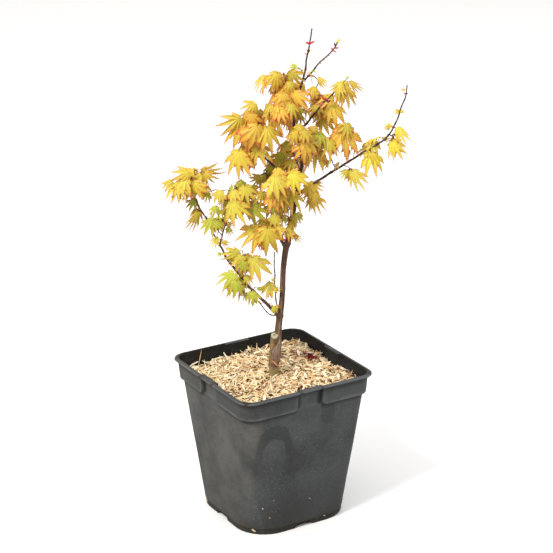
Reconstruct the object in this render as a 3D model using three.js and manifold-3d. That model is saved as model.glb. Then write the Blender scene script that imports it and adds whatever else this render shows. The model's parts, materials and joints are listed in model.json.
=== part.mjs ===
// A young grafted palmate maple in a square nursery pot, topped with shredded wood mulch.
// Units are millimetres, +Z up. The origin is the centre of the pot's flat underside.
// The pot's sides face +X, -X, +Y and -Y. The plant's fan of boughs lies in a vertical
// plane that is turned against the pot, so the plant has its own turned group: its x runs
// along the fan, its y towards the back of the fan.
import * as THREE from 'three';
import * as BufferGeometryUtils from 'three/addons/utils/BufferGeometryUtils.js';
import Module from 'manifold-3d';

const wasm = await Module();
wasm.setup();

// ---------------------------------------------------------------- driving dimensions
const GAP = 0.35;              // clearance between touching pieces

const POT_HEIGHT = 197;        // underside to lip
const LIP_WIDTH = 194.6;        // outside the lip, side to side
const WALL = 1.6;              // wall thickness
const WALL_WIDTH_LOW = 154;  // outside the wall, just above the foot
const WALL_WIDTH_HIGH = 176.3; // outside the wall, just under the skirt
const CORNER_LOW = 44;         // corner radius at the foot
const CORNER_HIGH = 17;        // corner radius at the top
const FOOT_WIDTH = 151.6;       // stepped-in foot under the wall
const FOOT_HEIGHT = 8;
const FLOOR = 2;               // floor thickness
const SKIRT_LOW = 170.2;       // lower edge of the band round each corner
const SKIRT_PROUD = 4.2;       // how far that band stands out of the wall
const SKIRT_GAP = 17.5;        // half the width of the break in the band, mid side
const NOTCH_WIDTH = 28;        // drainage notch, mid side, in the foot
const NOTCH_TOP = 17;          // its width at the top, the ends slope in
const NOTCH_HEIGHT = 6;
const NOTCH_DEPTH = 12;

const COMPOST_TOP = 173.4;
const MULCH_TOP = 182.6;       // mean level of the wood mulch
const MULCH_BUMP = 1.7;        // its unevenness

const PLANT_TURN = -30.73;     // degrees about Z, the fan of boughs against the pot

// Limbs: stations along the middle of each limb in the plant's own x, y, z, and the
// radius at the first and the last of them.
const TRUNK_STATIONS = [       // x, y, z, radius: flare, rootstock, graft swelling, stem
  [1.9, 0, COMPOST_TOP + GAP, 8.2], [2.0, 0, 179, 6.9], [2.1, 0, 185, 6.2], [2.1, 0, 195, 5.9],
  [3.1, 0, 210.5, 6.9], [5.2, 0, 220, 6.1], [7.4, 0, 233, 4.7], [8.7, 0, 249.3, 4.25],
  [11.0, 0, 267.6, 4.1], [13.2, 0, 283.7, 3.5], [15.6, 0, 330.4, 3.55], [19.9, 0, 359.4, 4.0]];
const STUB_STATIONS = [[2.0, -2.5, 214, 5.0], [2.8, -4.4, 228, 4.9], [3.5, -5.6, 245, 4.7]];
const STUB_CUT = { at: [3.3, -5.2, 237.8], lean: 42 };   // sawn face, tipped to the front
const LIMBS = {
  leader: { r: [3.2, 0.75], through: true, at: [[20.2, 0, 360.2], [25.1, 0, 381.6], [34, 0, 434.6],
    [38.8, 0, 466], [29.2, 0, 512], [27.6, 0, 528], [38.1, 0, 559.3], [46.7, 0, 598.9], [51, 0, 628]] },
  fork_arm: { r: [1.9, 1.1], at: [[15.6, -1, 359.6], [9, -4, 370], [0, -8, 382]] },
  second_top_twig: { r: [1.1, 0.75], through: true, at: [[44.6, 0, 569], [60.6, -1, 587.7], [76.6, -1, 604], [82, -1, 613]] },
  right_bough: { r: [1.8, 1.15], through: true, at: [[35.5, -4, 426], [55.8, -12, 441.5], [77.6, -14, 457],
    [110, -15, 477.6], [139.6, -15, 496.3]] },
  right_bough_tip: { r: [1.1, 0.7], through: true, at: [[140.4, -15, 497.0], [147.5, -15, 508.5], [155.8, -15, 526.3],
    [163.6, -15, 552], [164.8, -15, 561.3]] },
  right_top_twig: { r: [1.5, 0.9], through: true, at: [[33, -3.5, 507], [40.8, -12, 512.8], [67.6, -18, 545.8], [76, -18, 554]] },
  left_shoulder_bough: { r: [1.7, 1.1], at: [[28.5, 0, 436], [8.7, -3, 457.5], [-5, -5, 470], [-19, -8, 487]] },
  front_bough: { r: [1.6, 1.0], at: [[36.6, -3.4, 474], [37, -16, 487], [36, -30, 502]] },
  middle_front_bough: { r: [1.6, 1.0], at: [[30, -3.2, 421], [25, -16, 430], [18, -30, 441]] },
  back_bough: { r: [1.7, 1.1], at: [[35.8, 3.6, 450], [33, 22, 458], [29, 40, 466]] },
  back_top_bough: { r: [1.5, 1.0], at: [[28.4, 3.2, 508], [28, 20, 519], [28, 36, 530]] },
  lower_left_bough: { r: [2.0, 1.3], through: true, at: [[7.6, -6, 268.4], [-2, -9, 277], [-20.9, -10, 299], [-33.4, -10, 312.8],
    [-49, -10, 335], [-64, -10, 362.2]] },
  lower_left_arm: { r: [1.1, 0.7], through: true, at: [[-65, -10.2, 363.2], [-78, -10, 392], [-88, -10, 412], [-93.4, -10, 426]] },
  lower_right_arm: { r: [1.0, 0.8], through: true, at: [[-63.6, -10, 363.4], [-59, -10, 378], [-52, -11, 396]] },
  thin_stem: { r: [0.9, 0.75], through: true, at: [[6.9, -4.8, 270.6], [5.3, -6, 294], [4.0, -6, 318], [4.2, -6, 350]] },
};

// Masses of leaves: middle, half sizes, droop of the lower side, seed.
const MASSES = [
  ['crown_top', [13, 0, 557], [34, 31, 19], 0.25],
  ['crown_front', [16, -42, 543], [31, 25, 22], 0.3],
  ['crown_right_shoulder', [64, 5, 529], [23, 33, 27], 0.3],
  ['upper_right_spray', [91, -12, 555], [21, 20, 18], 0.35],
  ['left_shoulder', [-23, -14, 512], [35, 34, 28], 0.3],
  ['left_skirt', [-30, -20, 474], [24, 23, 24], 0.4],
  ['crown_heart', [40, -42, 501], [27, 22, 27], 0.3],
  ['right_cluster', [89, -24, 497], [24, 22, 24], 0.4],
  ['bough_mid_leaves', [125, -14, 480], [15, 19, 22], 0.4],
  ['bough_tip_leaves', [153, -14, 492], [15, 18, 23], 0.4],
  ['under_bough_leaves', [100, -14, 449], [14, 13, 12], 0.4],
  ['middle_left', [-3, 8, 444], [21, 26, 20], 0.2],
  ['middle_front', [15, -40, 441], [27, 23, 31], 0.3],
  ['middle_right', [51, -8, 420], [12, 20, 21], 0.4],
  ['fork_leaves', [26, -12, 389], [11, 17, 14], 0.2],
  ['lower_middle', [-11, -12, 374], [25, 24, 23], 0.4],
  ['left_tip', [-103, -10, 437], [33, 26, 22], 0.4],
  ['left_inner', [-42, -14, 422], [34, 31, 24], 0.3],
  ['left_hanging', [-94, -12, 397], [7, 9, 16], 0.3],
  ['left_low', [-64, -8, 388], [20, 23, 19], 0.3],
  ['low_upper', [-35, -14, 338], [24, 21, 17], 0.3],
  ['low_left', [-49, -14, 308], [16, 20, 17], 0.3],
  ['low_foot', [-27, -12, 291], [13, 13, 11], 0.3],
  ['inner_small', [-3, -6, 300], [9, 9, 11], 0.3],
  ['back_upper', [28, 52, 512], [34, 26, 28], 0.2],
  ['back_middle', [22, 56, 450], [36, 29, 30], 0.2],
  ['back_lower', [15, 34, 397], [22, 24, 20], 0.2],
];

// ---------------------------------------------------------------- helpers
// A closed body from rings of equal counts, with a fan at each end.
function loft(rings, first, last) {
  const n = rings[0].length, pos = [], tri = [];
  for (const ring of rings) for (const p of ring) pos.push(p[0], p[1], p[2]);
  for (let k = 0; k + 1 < rings.length; k++) for (let i = 0; i < n; i++) {
    const a = k * n + i, b = k * n + (i + 1) % n, c = a + n, d = b + n;
    tri.push(a, b, d, a, d, c);
  }
  const s = pos.length / 3; pos.push(...first);
  const e = s + 1; pos.push(...last);
  const m = (rings.length - 1) * n;
  for (let i = 0; i < n; i++) {
    tri.push(s, (i + 1) % n, i);
    tri.push(e, m + i, m + (i + 1) % n);
  }
  return { pos, tri };
}
function signedVolume({ pos, tri }) {
  let v = 0;
  for (let t = 0; t < tri.length; t += 3) {
    const [a, b, c] = [tri[t] * 3, tri[t + 1] * 3, tri[t + 2] * 3];
    v += pos[a] * (pos[b + 1] * pos[c + 2] - pos[b + 2] * pos[c + 1])
       - pos[a + 1] * (pos[b] * pos[c + 2] - pos[b + 2] * pos[c])
       + pos[a + 2] * (pos[b] * pos[c + 1] - pos[b + 1] * pos[c]);
  }
  return v / 6;
}
function toSolid(mesh) {
  const tri = mesh.tri.slice();
  if (signedVolume(mesh) < 0) for (let t = 0; t < tri.length; t += 3) [tri[t + 1], tri[t + 2]] = [tri[t + 2], tri[t + 1]];
  return new wasm.Manifold(new wasm.Mesh({ numProp: 3,
    vertProperties: new Float32Array(mesh.pos), triVerts: new Uint32Array(tri) }));
}
function geometryToSolid(geometry) {
  let g = geometry.clone();
  g.deleteAttribute('normal'); g.deleteAttribute('uv');
  g = BufferGeometryUtils.mergeVertices(g, 1e-4);
  return toSolid({ pos: Array.from(g.attributes.position.array), tri: Array.from(g.index.array) });
}
function toGeometry(solid) {
  const m = solid.getMesh(), g = new THREE.BufferGeometry(), n = m.numProp;
  const p = new Float32Array(m.vertProperties.length / n * 3);
  for (let i = 0; i < p.length / 3; i++) for (let k = 0; k < 3; k++) p[i * 3 + k] = m.vertProperties[i * n + k];
  g.setAttribute('position', new THREE.BufferAttribute(p, 3));
  g.setIndex(new THREE.BufferAttribute(new Uint32Array(m.triVerts), 1));
  g.computeVertexNormals();
  return g;
}
// The largest connected piece of a solid.
function largest(solid) {
  let best = null, v = -1;
  for (const piece of solid.decompose()) if (piece.volume() > v) { v = piece.volume(); best = piece; }
  return best;
}
const wave = (x, y, z, s) => Math.sin(x * 1.7 + s * 2.3) * Math.cos(y * 1.9 - s * 1.1) + Math.sin(z * 2.3 + s * 0.7 + x * 0.9);

// ---------------------------------------------------------------- pot and filling
// One ring round the pot: a square with rounded corners, standing `proud` outside the
// middle break of each side.
function potRing(width, radius, z, proud = 0) {
  const ring = [], half = width / 2, arc = 4, e = 1.2;
  for (let side = 0; side < 4; side++) {
    const turn = side * Math.PI / 2, c = Math.cos(turn), s = Math.sin(turn), pts = [];
    const reach = half - radius;
    pts.push([half + proud, -SKIRT_GAP - e], [half, -SKIRT_GAP + e], [half, SKIRT_GAP - e], [half + proud, SKIRT_GAP + e]);
    for (let k = 0; k <= arc; k++) {
      const a = k / arc * Math.PI / 2;
      pts.push([reach + (radius + proud) * Math.cos(a), reach + (radius + proud) * Math.sin(a)]);
    }
    for (const [x, y] of pts) ring.push([x * c - y * s, x * s + y * c, z]);
  }
  return ring;
}
const mix = (a, b, t) => a + (b - a) * t;
const wallWidth = (z) => mix(WALL_WIDTH_LOW, WALL_WIDTH_HIGH, (z - FOOT_HEIGHT) / (SKIRT_LOW - FOOT_HEIGHT));
const wallCorner = (z) => mix(CORNER_LOW, CORNER_HIGH, Math.min(1, (z - FOOT_HEIGHT) / (SKIRT_LOW - FOOT_HEIGHT)));
// inside the wall, `back` further in
const insideRing = (z, proud = 0, back = 0, lift = 0) =>
  potRing(wallWidth(z) - 2 * (WALL + back), wallCorner(z) - WALL - back, z + lift, proud);

function pot() {
  const z0 = FOOT_HEIGHT, foot = FOOT_WIDTH - 2 * WALL;
  let body = toSolid(loft([
    potRing(FOOT_WIDTH, CORNER_LOW - 1, 0),
    potRing(FOOT_WIDTH, CORNER_LOW - 1, z0 - 1),
    potRing(wallWidth(z0), CORNER_LOW, z0 + 0.6),
    potRing(wallWidth(SKIRT_LOW), CORNER_HIGH, SKIRT_LOW),
    potRing(wallWidth(SKIRT_LOW + 1.8), CORNER_HIGH, SKIRT_LOW + 1.8, SKIRT_PROUD),
    potRing(wallWidth(POT_HEIGHT - 4.4), CORNER_HIGH, POT_HEIGHT - 4.4, SKIRT_PROUD),
    potRing(LIP_WIDTH, CORNER_HIGH + 4, POT_HEIGHT - 3.4),
    potRing(LIP_WIDTH - 0.8, CORNER_HIGH + 3.6, POT_HEIGHT),
    insideRing(POT_HEIGHT, SKIRT_PROUD),
    insideRing(SKIRT_LOW + 3.2, SKIRT_PROUD),
    insideRing(SKIRT_LOW + 1.4),
    insideRing(z0 + 1.6),
    potRing(foot, CORNER_LOW - 1 - WALL, z0 + 0.6),
    potRing(foot, CORNER_LOW - 1 - WALL, FLOOR),
  ], [0, 0, 0], [0, 0, FLOOR]));
  for (let side = 0; side < 4; side++) {           // drainage notches with sloping ends
    const shape = new THREE.Shape();
    const w = NOTCH_WIDTH / 2, t = NOTCH_TOP / 2, h = NOTCH_HEIGHT;
    shape.moveTo(-w - 0.9, -1); shape.lineTo(w + 0.9, -1); shape.lineTo(t, h); shape.lineTo(-t, h);
    const g = new THREE.ExtrudeGeometry(shape, { depth: NOTCH_DEPTH + 2, bevelEnabled: false, steps: 1 });
    g.rotateX(Math.PI / 2);                        // shape's y to +Z, depth to -Y
    g.translate(0, -FOOT_WIDTH / 2 + NOTCH_DEPTH, 0);
    g.rotateZ(side * Math.PI / 2);
    body = body.subtract(geometryToSolid(g));
  }
  return body;
}
function compost() {
  const z0 = FOOT_HEIGHT, foot = FOOT_WIDTH - 2 * (WALL + GAP);
  return toSolid(loft([
    potRing(foot, CORNER_LOW - 1 - WALL - GAP, FLOOR + GAP),
    potRing(foot, CORNER_LOW - 1 - WALL - GAP, z0 + 0.4),
    insideRing(z0 + 2.3, 0, GAP),
    insideRing(COMPOST_TOP, 0, GAP),
  ], [0, 0, FLOOR + GAP], [0, 0, COMPOST_TOP]));
}
function mulch(trunkHole) {
  const base = COMPOST_TOP + GAP, rings = [insideRing(base, SKIRT_PROUD - 0.2, GAP)];
  const surface = (x, y) => MULCH_TOP + MULCH_BUMP * 0.6 * wave(x / 17, y / 19, (x - y) / 23, 3)
    - 4.5 * Math.exp(-((x + 62) ** 2 + (y - 74) ** 2) / 1100)       // slack in the back left corner
    - 2.4 * Math.min(1, Math.max(0, (Math.max(Math.abs(x), Math.abs(y)) - 55) / 30))   // and along the walls
    - 1.6 * Math.exp(-(x * x + y * y) / 500);                       // and round the trunk
  for (const f of [1, 0.74, 0.4])
    rings.push(insideRing(MULCH_TOP - 2, SKIRT_PROUD - 0.2, GAP).map(([x, y]) => [x * f, y * f, surface(x * f, y * f) - (f === 1 ? 1.5 : 0)]));
  return toSolid(loft(rings, [0, 0, base], [0, 0, surface(0, 0)])).subtract(trunkHole);
}

// ---------------------------------------------------------------- limbs
// A tapering limb along a smooth curve, its section standing across the curve.
function limb(stations, radii, grow = 0, sides = 8, step = 12, flare = 0) {
  const pts = stations.map((p) => new THREE.Vector3(p[0], p[1], p[2]));
  const curve = new THREE.CatmullRomCurve3(pts, false, 'centripetal');
  const count = Math.max(2, Math.round(curve.getLength() / step));
  const rings = [];
  const u = new THREE.Vector3(), v = new THREE.Vector3();
  let side = new THREE.Vector3(1, 0, 0);
  const centres = [];
  for (let k = 0; k <= count; k++) {
    const t = k / count, f = curve.getUtoTmapping(t);
    const c = curve.getPoint(f), d = curve.getTangent(f);
    if (grow && k === 0) c.addScaledVector(d, -grow);
    if (grow && k === count) c.addScaledVector(d, grow);
    u.copy(side).addScaledVector(d, -side.dot(d)).normalize();
    v.crossVectors(d, u);
    side = u.clone();
    let r;
    if (radii.length === 2) r = mix(radii[0], radii[1], t);
    else { const w = f * (radii.length - 1), i = Math.min(radii.length - 2, Math.floor(w)); r = mix(radii[i], radii[i + 1], w - i); }
    const ring = [];
    for (let i = 0; i < sides; i++) {
      const a = i / sides * Math.PI * 2;
      const q = (r + grow) * (1 + flare * Math.exp(-k * 1.4) * Math.cos(3 * a + 0.8));
      const p = c.clone().addScaledVector(u, q * Math.cos(a)).addScaledVector(v, q * Math.sin(a));
      ring.push([p.x, p.y, p.z]);
    }
    rings.push(ring); centres.push([c.x, c.y, c.z]);
  }
  return { rings, centres };
}
const limbSolid = (st, r, grow, sides, step, flare) => {
  const { rings, centres } = limb(st, r, grow, sides, step, flare);
  return toSolid(loft(rings, centres[0], centres[centres.length - 1]));
};
// The trunk keeps a level cut at its foot.
function trunkSolid(grow = 0, down = 0) {
  const { rings, centres } = limb(TRUNK_STATIONS, TRUNK_STATIONS.map((s) => s[3]), grow, 12, 13, 0.12);
  const z = COMPOST_TOP + GAP;
  rings[0] = rings[0].map(([x, y]) => [x, y, z]);
  if (down) rings.unshift(rings[0].map(([x, y]) => [x, y, z - down]));
  return toSolid(loft(rings, [centres[0][0], centres[0][1], z - down], centres[centres.length - 1]));
}

// ---------------------------------------------------------------- leaf masses
// An uneven rounded body: lobes round its outline, a fuller top and a ragged, drooping skirt.
function leafMass([cx, cy, cz], [rx, ry, rz], droop, seed, grow = 0) {
  const detail = Math.max(rx, rz) > 36.5 ? 3 : 2;
  let g = new THREE.IcosahedronGeometry(1, detail);
  g.deleteAttribute('normal'); g.deleteAttribute('uv');
  g = BufferGeometryUtils.mergeVertices(g, 1e-5);
  const p = g.attributes.position, pos = [];
  for (let i = 0; i < p.count; i++) {
    const x = p.getX(i), y = p.getY(i), z = p.getZ(i), a = Math.atan2(y, x), low = Math.max(0, -z);
    const lobe = 1 + 0.09 * Math.sin(3 * a + seed * 1.9) * (1 - z * z) + 0.07 * wave(x * 1.6, y * 1.6, z * 1.6, seed);
    const skirt = 1 + droop * low * (0.25 + 0.5 * Math.sin(5 * a + seed) ** 2);
    const pull = 1 - 0.22 * droop * low;
    pos.push(cx + x * rx * lobe * pull * 0.97 + x * grow, cy + y * ry * lobe * pull * 0.97 + y * grow,
      cz + z * rz * lobe * skirt * 0.92 + z * grow);
  }
  return toSolid({ pos, tri: Array.from(g.index.array) });
}

// ---------------------------------------------------------------- assembly
const colours = {
  pot: ['#2f3235', 0.62, 0], compost: ['#2b211a', 0.95, 0], mulch: ['#d9bd8c', 0.85, 0],
  bark: ['#6d5a4a', 0.75, 0], twig: ['#4a2a26', 0.6, 0], leaf: ['#d9c235', 0.6, 0],
};
const material = (key) => new THREE.MeshStandardMaterial({ color: colours[key][0], roughness: colours[key][1], metalness: colours[key][2] });
const object = new THREE.Group();
const plant = new THREE.Group();
plant.rotation.z = PLANT_TURN * Math.PI / 180;
object.add(plant);
function add(group, name, solid, key) {
  const mesh = new THREE.Mesh(toGeometry(solid), material(key));
  mesh.name = name;
  group.add(mesh);
}
const turned = (solid) => solid.rotate([0, 0, PLANT_TURN]);

const trunk = trunkSolid();
const stubHalfSpace = (() => {                     // everything above the sawn face
  const g = new THREE.BoxGeometry(60, 60, 60);
  g.translate(0, 0, 30); g.rotateX(STUB_CUT.lean * Math.PI / 180);
  g.translate(...STUB_CUT.at);
  return geometryToSolid(g);
})();
const stub = largest(limbSolid(STUB_STATIONS, STUB_STATIONS.map((s) => s[3]), 0, 10, 8)
  .subtract(stubHalfSpace).subtract(trunkSolid(GAP)));

add(object, 'pot', pot(), 'pot');
add(object, 'compost', compost(), 'compost');
add(object, 'mulch', mulch(turned(trunkSolid(GAP + 0.1, 5))), 'mulch');
add(plant, 'trunk', trunk, 'bark');
add(plant, 'rootstock_stub', stub, 'bark');

// limbs first: each is kept clear of the ones before it
const limbs = {}, grownLimbs = [trunkSolid(GAP), limbSolid(STUB_STATIONS, STUB_STATIONS.map((s) => s[3]), GAP, 10, 8)];
for (const [name, spec] of Object.entries(LIMBS)) {
  let s = limbSolid(spec.at, spec.r, 0, spec.r[0] > 1.9 ? 8 : 6, 16);
  for (const other of grownLimbs) s = s.subtract(other);
  limbs[name] = { solid: largest(s), through: spec.through };
  grownLimbs.push(limbSolid(spec.at, spec.r, GAP, spec.r[0] > 1.9 ? 8 : 6, 16));
}
// masses: cut round the through limbs and clear of the masses before them; the other
// limbs end where they enter a mass
const through = grownLimbs.slice(0, 2).concat(Object.keys(LIMBS).map((n, i) => LIMBS[n].through ? grownLimbs[i + 2] : null).filter(Boolean));
const masses = [], grownMasses = [];
MASSES.forEach(([name, at, size, droop], i) => {
  let s = leafMass(at, size, droop, i + 1);
  for (const other of through) s = s.subtract(other);
  for (const other of grownMasses) s = s.subtract(other);
  masses.push([name, largest(s).simplify(0.1)]);
  grownMasses.push(leafMass(at, size, droop, i + 1, 0.6));
});
for (const [name, { solid, through: runs }] of Object.entries(limbs)) {
  let s = solid;
  if (!runs) for (const other of grownMasses) s = s.subtract(other);
  add(plant, name, largest(s).simplify(0.06), name === 'leader' || name === 'lower_left_bough' ? 'bark' : 'twig');
}
for (const [name, s] of masses) add(plant, name, s, 'leaf');

export default object;
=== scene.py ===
import bpy, bmesh, json, math, random
import numpy as np
from mathutils import Vector, Matrix, noise
from mathutils.bvhtree import BVHTree

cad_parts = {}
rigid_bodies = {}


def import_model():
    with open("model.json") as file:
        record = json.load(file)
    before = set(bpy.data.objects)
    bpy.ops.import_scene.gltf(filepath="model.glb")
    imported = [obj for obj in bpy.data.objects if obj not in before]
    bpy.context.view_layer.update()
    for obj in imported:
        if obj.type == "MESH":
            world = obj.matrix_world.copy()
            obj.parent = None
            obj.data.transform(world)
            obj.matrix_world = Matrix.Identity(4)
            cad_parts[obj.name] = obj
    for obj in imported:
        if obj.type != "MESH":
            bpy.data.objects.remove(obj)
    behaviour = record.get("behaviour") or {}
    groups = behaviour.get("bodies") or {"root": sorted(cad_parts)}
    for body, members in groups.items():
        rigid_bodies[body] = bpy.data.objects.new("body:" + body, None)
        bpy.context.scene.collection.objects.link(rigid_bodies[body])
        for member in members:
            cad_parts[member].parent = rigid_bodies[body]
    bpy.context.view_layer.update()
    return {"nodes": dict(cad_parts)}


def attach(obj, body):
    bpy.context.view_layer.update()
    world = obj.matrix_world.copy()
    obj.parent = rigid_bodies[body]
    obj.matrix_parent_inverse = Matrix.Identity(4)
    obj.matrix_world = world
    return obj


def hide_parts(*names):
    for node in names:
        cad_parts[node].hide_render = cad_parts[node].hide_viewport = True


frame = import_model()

MM = 0.001
rnd = random.Random(20815)
scene = bpy.context.scene

# ------------------------------------------------------------------ frame of the plant
PLANT_TURN = math.radians(-30.73)          # the fan of boughs against the pot
CT, ST = math.cos(PLANT_TURN), math.sin(PLANT_TURN)


def world(p):
    """A point or points of the plant's own frame, in mm, in the frame of the part, in metres."""
    p = np.asarray(p, float)
    return np.stack([p[..., 0] * CT - p[..., 1] * ST, p[..., 0] * ST + p[..., 1] * CT, p[..., 2]], -1) * MM


# ------------------------------------------------------------------ camera and light
AZ, EL, ROLL = math.radians(-30.73), math.radians(20.09), math.radians(-0.50)
DIST, AIM_SIDE, AIM_UP, FOCAL = 2.3609, 0.0066, 0.3152, 1888.7 / 553 * 36
back = Vector((math.sin(AZ) * math.cos(EL), -math.cos(AZ) * math.cos(EL), math.sin(EL)))
side = Vector((math.cos(AZ), math.sin(AZ), 0))
lift = back.cross(side)
cam = bpy.data.objects.new("camera", bpy.data.cameras.new("camera"))
scene.collection.objects.link(cam)
scene.camera = cam
cr, sr = math.cos(ROLL), math.sin(ROLL)
m = Matrix((side * cr + lift * sr, lift * cr - side * sr, back)).transposed().to_4x4()
m.translation = side * AIM_SIDE + Vector((0, 0, AIM_UP)) + back * DIST
cam.matrix_world = m
cam.data.sensor_width = 36
cam.data.lens = FOCAL
cam.data.clip_end = 50

world_ = bpy.data.worlds.new("studio")
scene.world = world_
world_.use_nodes = True
wt = world_.node_tree
bg = wt.nodes["Background"]
bg.inputs[0].default_value = (1.0, 0.995, 0.985, 1)
wco = wt.nodes.new("ShaderNodeTexCoord")
wsep = wt.nodes.new("ShaderNodeSeparateXYZ")
wt.links.new(wco.outputs["Generated"], wsep.inputs[0])
wr = wt.nodes.new("ShaderNodeMapRange")            # a bright ceiling and a dimmer horizon
for k_, v_ in zip((1, 2, 3, 4), (-0.2, 0.9, 0.40, 1.05)):
    wr.inputs[k_].default_value = v_
wt.links.new(wsep.outputs[2], wr.inputs[0])
path = wt.nodes.new("ShaderNodeLightPath")
wm = wt.nodes.new("ShaderNodeMix")
wt.links.new(path.outputs["Is Camera Ray"], wm.inputs[0])
wt.links.new(wr.outputs[0], wm.inputs[2])
wm.inputs[3].default_value = 1.02
wt.links.new(wm.outputs[0], bg.inputs[1])
scene.view_settings.view_transform = "Standard"
scene.view_settings.look = "None"
scene.cycles.use_denoising = True
scene.cycles.max_bounces = 8


def area(name, where, aim, size, power, colour=(1, 1, 1)):
    light = bpy.data.lights.new(name, "AREA")
    light.shape = "DISK"
    light.size, light.energy, light.color = size, power, colour
    o = bpy.data.objects.new(name, light)
    scene.collection.objects.link(o)
    o.location = where
    o.rotation_euler = (Vector(aim) - Vector(where)).to_track_quat("-Z", "Y").to_euler()
    return o


front = Vector((math.sin(AZ), -math.cos(AZ), 0))
area("key", side * -1.3 + front * 1.5 + Vector((0, 0, 2.3)), (0, 0, 0.35), 0.7, 58, (1.0, 0.975, 0.93))
area("fill", side * 1.9 + front * 1.2 + Vector((0, 0, 1.1)), (0, 0, 0.3), 1.4, 5, (0.95, 0.97, 1.0))
area("rim", side * 0.4 + front * -1.9 + Vector((0, 0, 1.9)), (0, 0, 0.4), 1.2, 12)


# ------------------------------------------------------------------ materials
def lin(r, g, b):
    f = lambda c: (c / 255 / 12.92) if c <= 10.3 else ((c / 255 + 0.055) / 1.055) ** 2.4
    return (f(r), f(g), f(b), 1)


def plain(name, rgb, rough=0.55, spec=0.35, **more):
    mat = bpy.data.materials.new(name)
    mat.use_nodes = True
    b = mat.node_tree.nodes["Principled BSDF"]
    b.inputs["Base Color"].default_value = lin(*rgb)
    b.inputs["Roughness"].default_value = rough
    b.inputs["Specular IOR Level"].default_value = spec
    for k, v in more.items():
        b.inputs[k].default_value = v
    return mat


class Nodes:
    """Short hand for building a node tree."""

    def __init__(self, name):
        self.mat = bpy.data.materials.new(name)
        self.mat.use_nodes = True
        self.t = self.mat.node_tree
        self.b = self.t.nodes["Principled BSDF"]
        self.co = self.t.nodes.new("ShaderNodeTexCoord").outputs["Object"]

    def link(self, a, b):
        self.t.links.new(a, b)

    def put(self, node, key, value):
        if hasattr(value, "is_linked") or isinstance(value, bpy.types.NodeSocket):
            self.link(value, node.inputs[key])
        else:
            node.inputs[key].default_value = value

    def noise(self, scale, detail=3, rough=0.5, co=None, dist=0.0):
        n = self.t.nodes.new("ShaderNodeTexNoise")
        self.link(co or self.co, n.inputs["Vector"])
        n.inputs["Scale"].default_value = scale
        n.inputs["Detail"].default_value = detail
        n.inputs["Roughness"].default_value = rough
        n.inputs["Distortion"].default_value = dist
        return n.outputs[0]

    def voronoi(self, scale, co=None, feature="F1"):
        n = self.t.nodes.new("ShaderNodeTexVoronoi")
        n.feature = feature
        self.link(co or self.co, n.inputs["Vector"])
        n.inputs["Scale"].default_value = scale
        return n.outputs["Distance"]

    def scaled(self, sx, sy, sz, co=None):
        n = self.t.nodes.new("ShaderNodeMapping")
        n.inputs["Scale"].default_value = (sx, sy, sz)
        self.link(co or self.co, n.inputs["Vector"])
        return n.outputs[0]

    def axis(self, k):
        if not hasattr(self, "sep"):
            self.sep = self.t.nodes.new("ShaderNodeSeparateXYZ")
            self.link(self.co, self.sep.inputs[0])
        return self.sep.outputs[k]

    def range(self, v, a, b, c=0.0, d=1.0, smooth=False):
        n = self.t.nodes.new("ShaderNodeMapRange")
        n.interpolation_type = "SMOOTHSTEP" if smooth else "LINEAR"
        self.put(n, 0, v)
        for k, x in zip((1, 2, 3, 4), (a, b, c, d)):
            self.put(n, k, x)
        return n.outputs[0]

    def math(self, op, a, b=0.0, clamp=False):
        n = self.t.nodes.new("ShaderNodeMath")
        n.operation = op
        n.use_clamp = clamp
        self.put(n, 0, a)
        self.put(n, 1, b)
        return n.outputs[0]

    def mix(self, f, a, b):
        n = self.t.nodes.new("ShaderNodeMix")
        n.data_type = "RGBA"
        self.put(n, 0, f)
        self.put(n, 6, a)
        self.put(n, 7, b)
        return n.outputs[2]

    def bump(self, height, strength, distance, normal=None):
        n = self.t.nodes.new("ShaderNodeBump")
        n.inputs["Strength"].default_value = strength
        n.inputs["Distance"].default_value = distance
        self.link(height, n.inputs["Height"])
        if normal is not None:
            self.link(normal, n.inputs["Normal"])
        return n.outputs[0]

    def out(self, colour=None, rough=None, normal=None, spec=None):
        if colour is not None:
            self.put(self.b, "Base Color", colour)
        if rough is not None:
            self.put(self.b, "Roughness", rough)
        if normal is not None:
            self.link(normal, self.b.inputs["Normal"])
        if spec is not None:
            self.b.inputs["Specular IOR Level"].default_value = spec
        return self.mat


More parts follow.
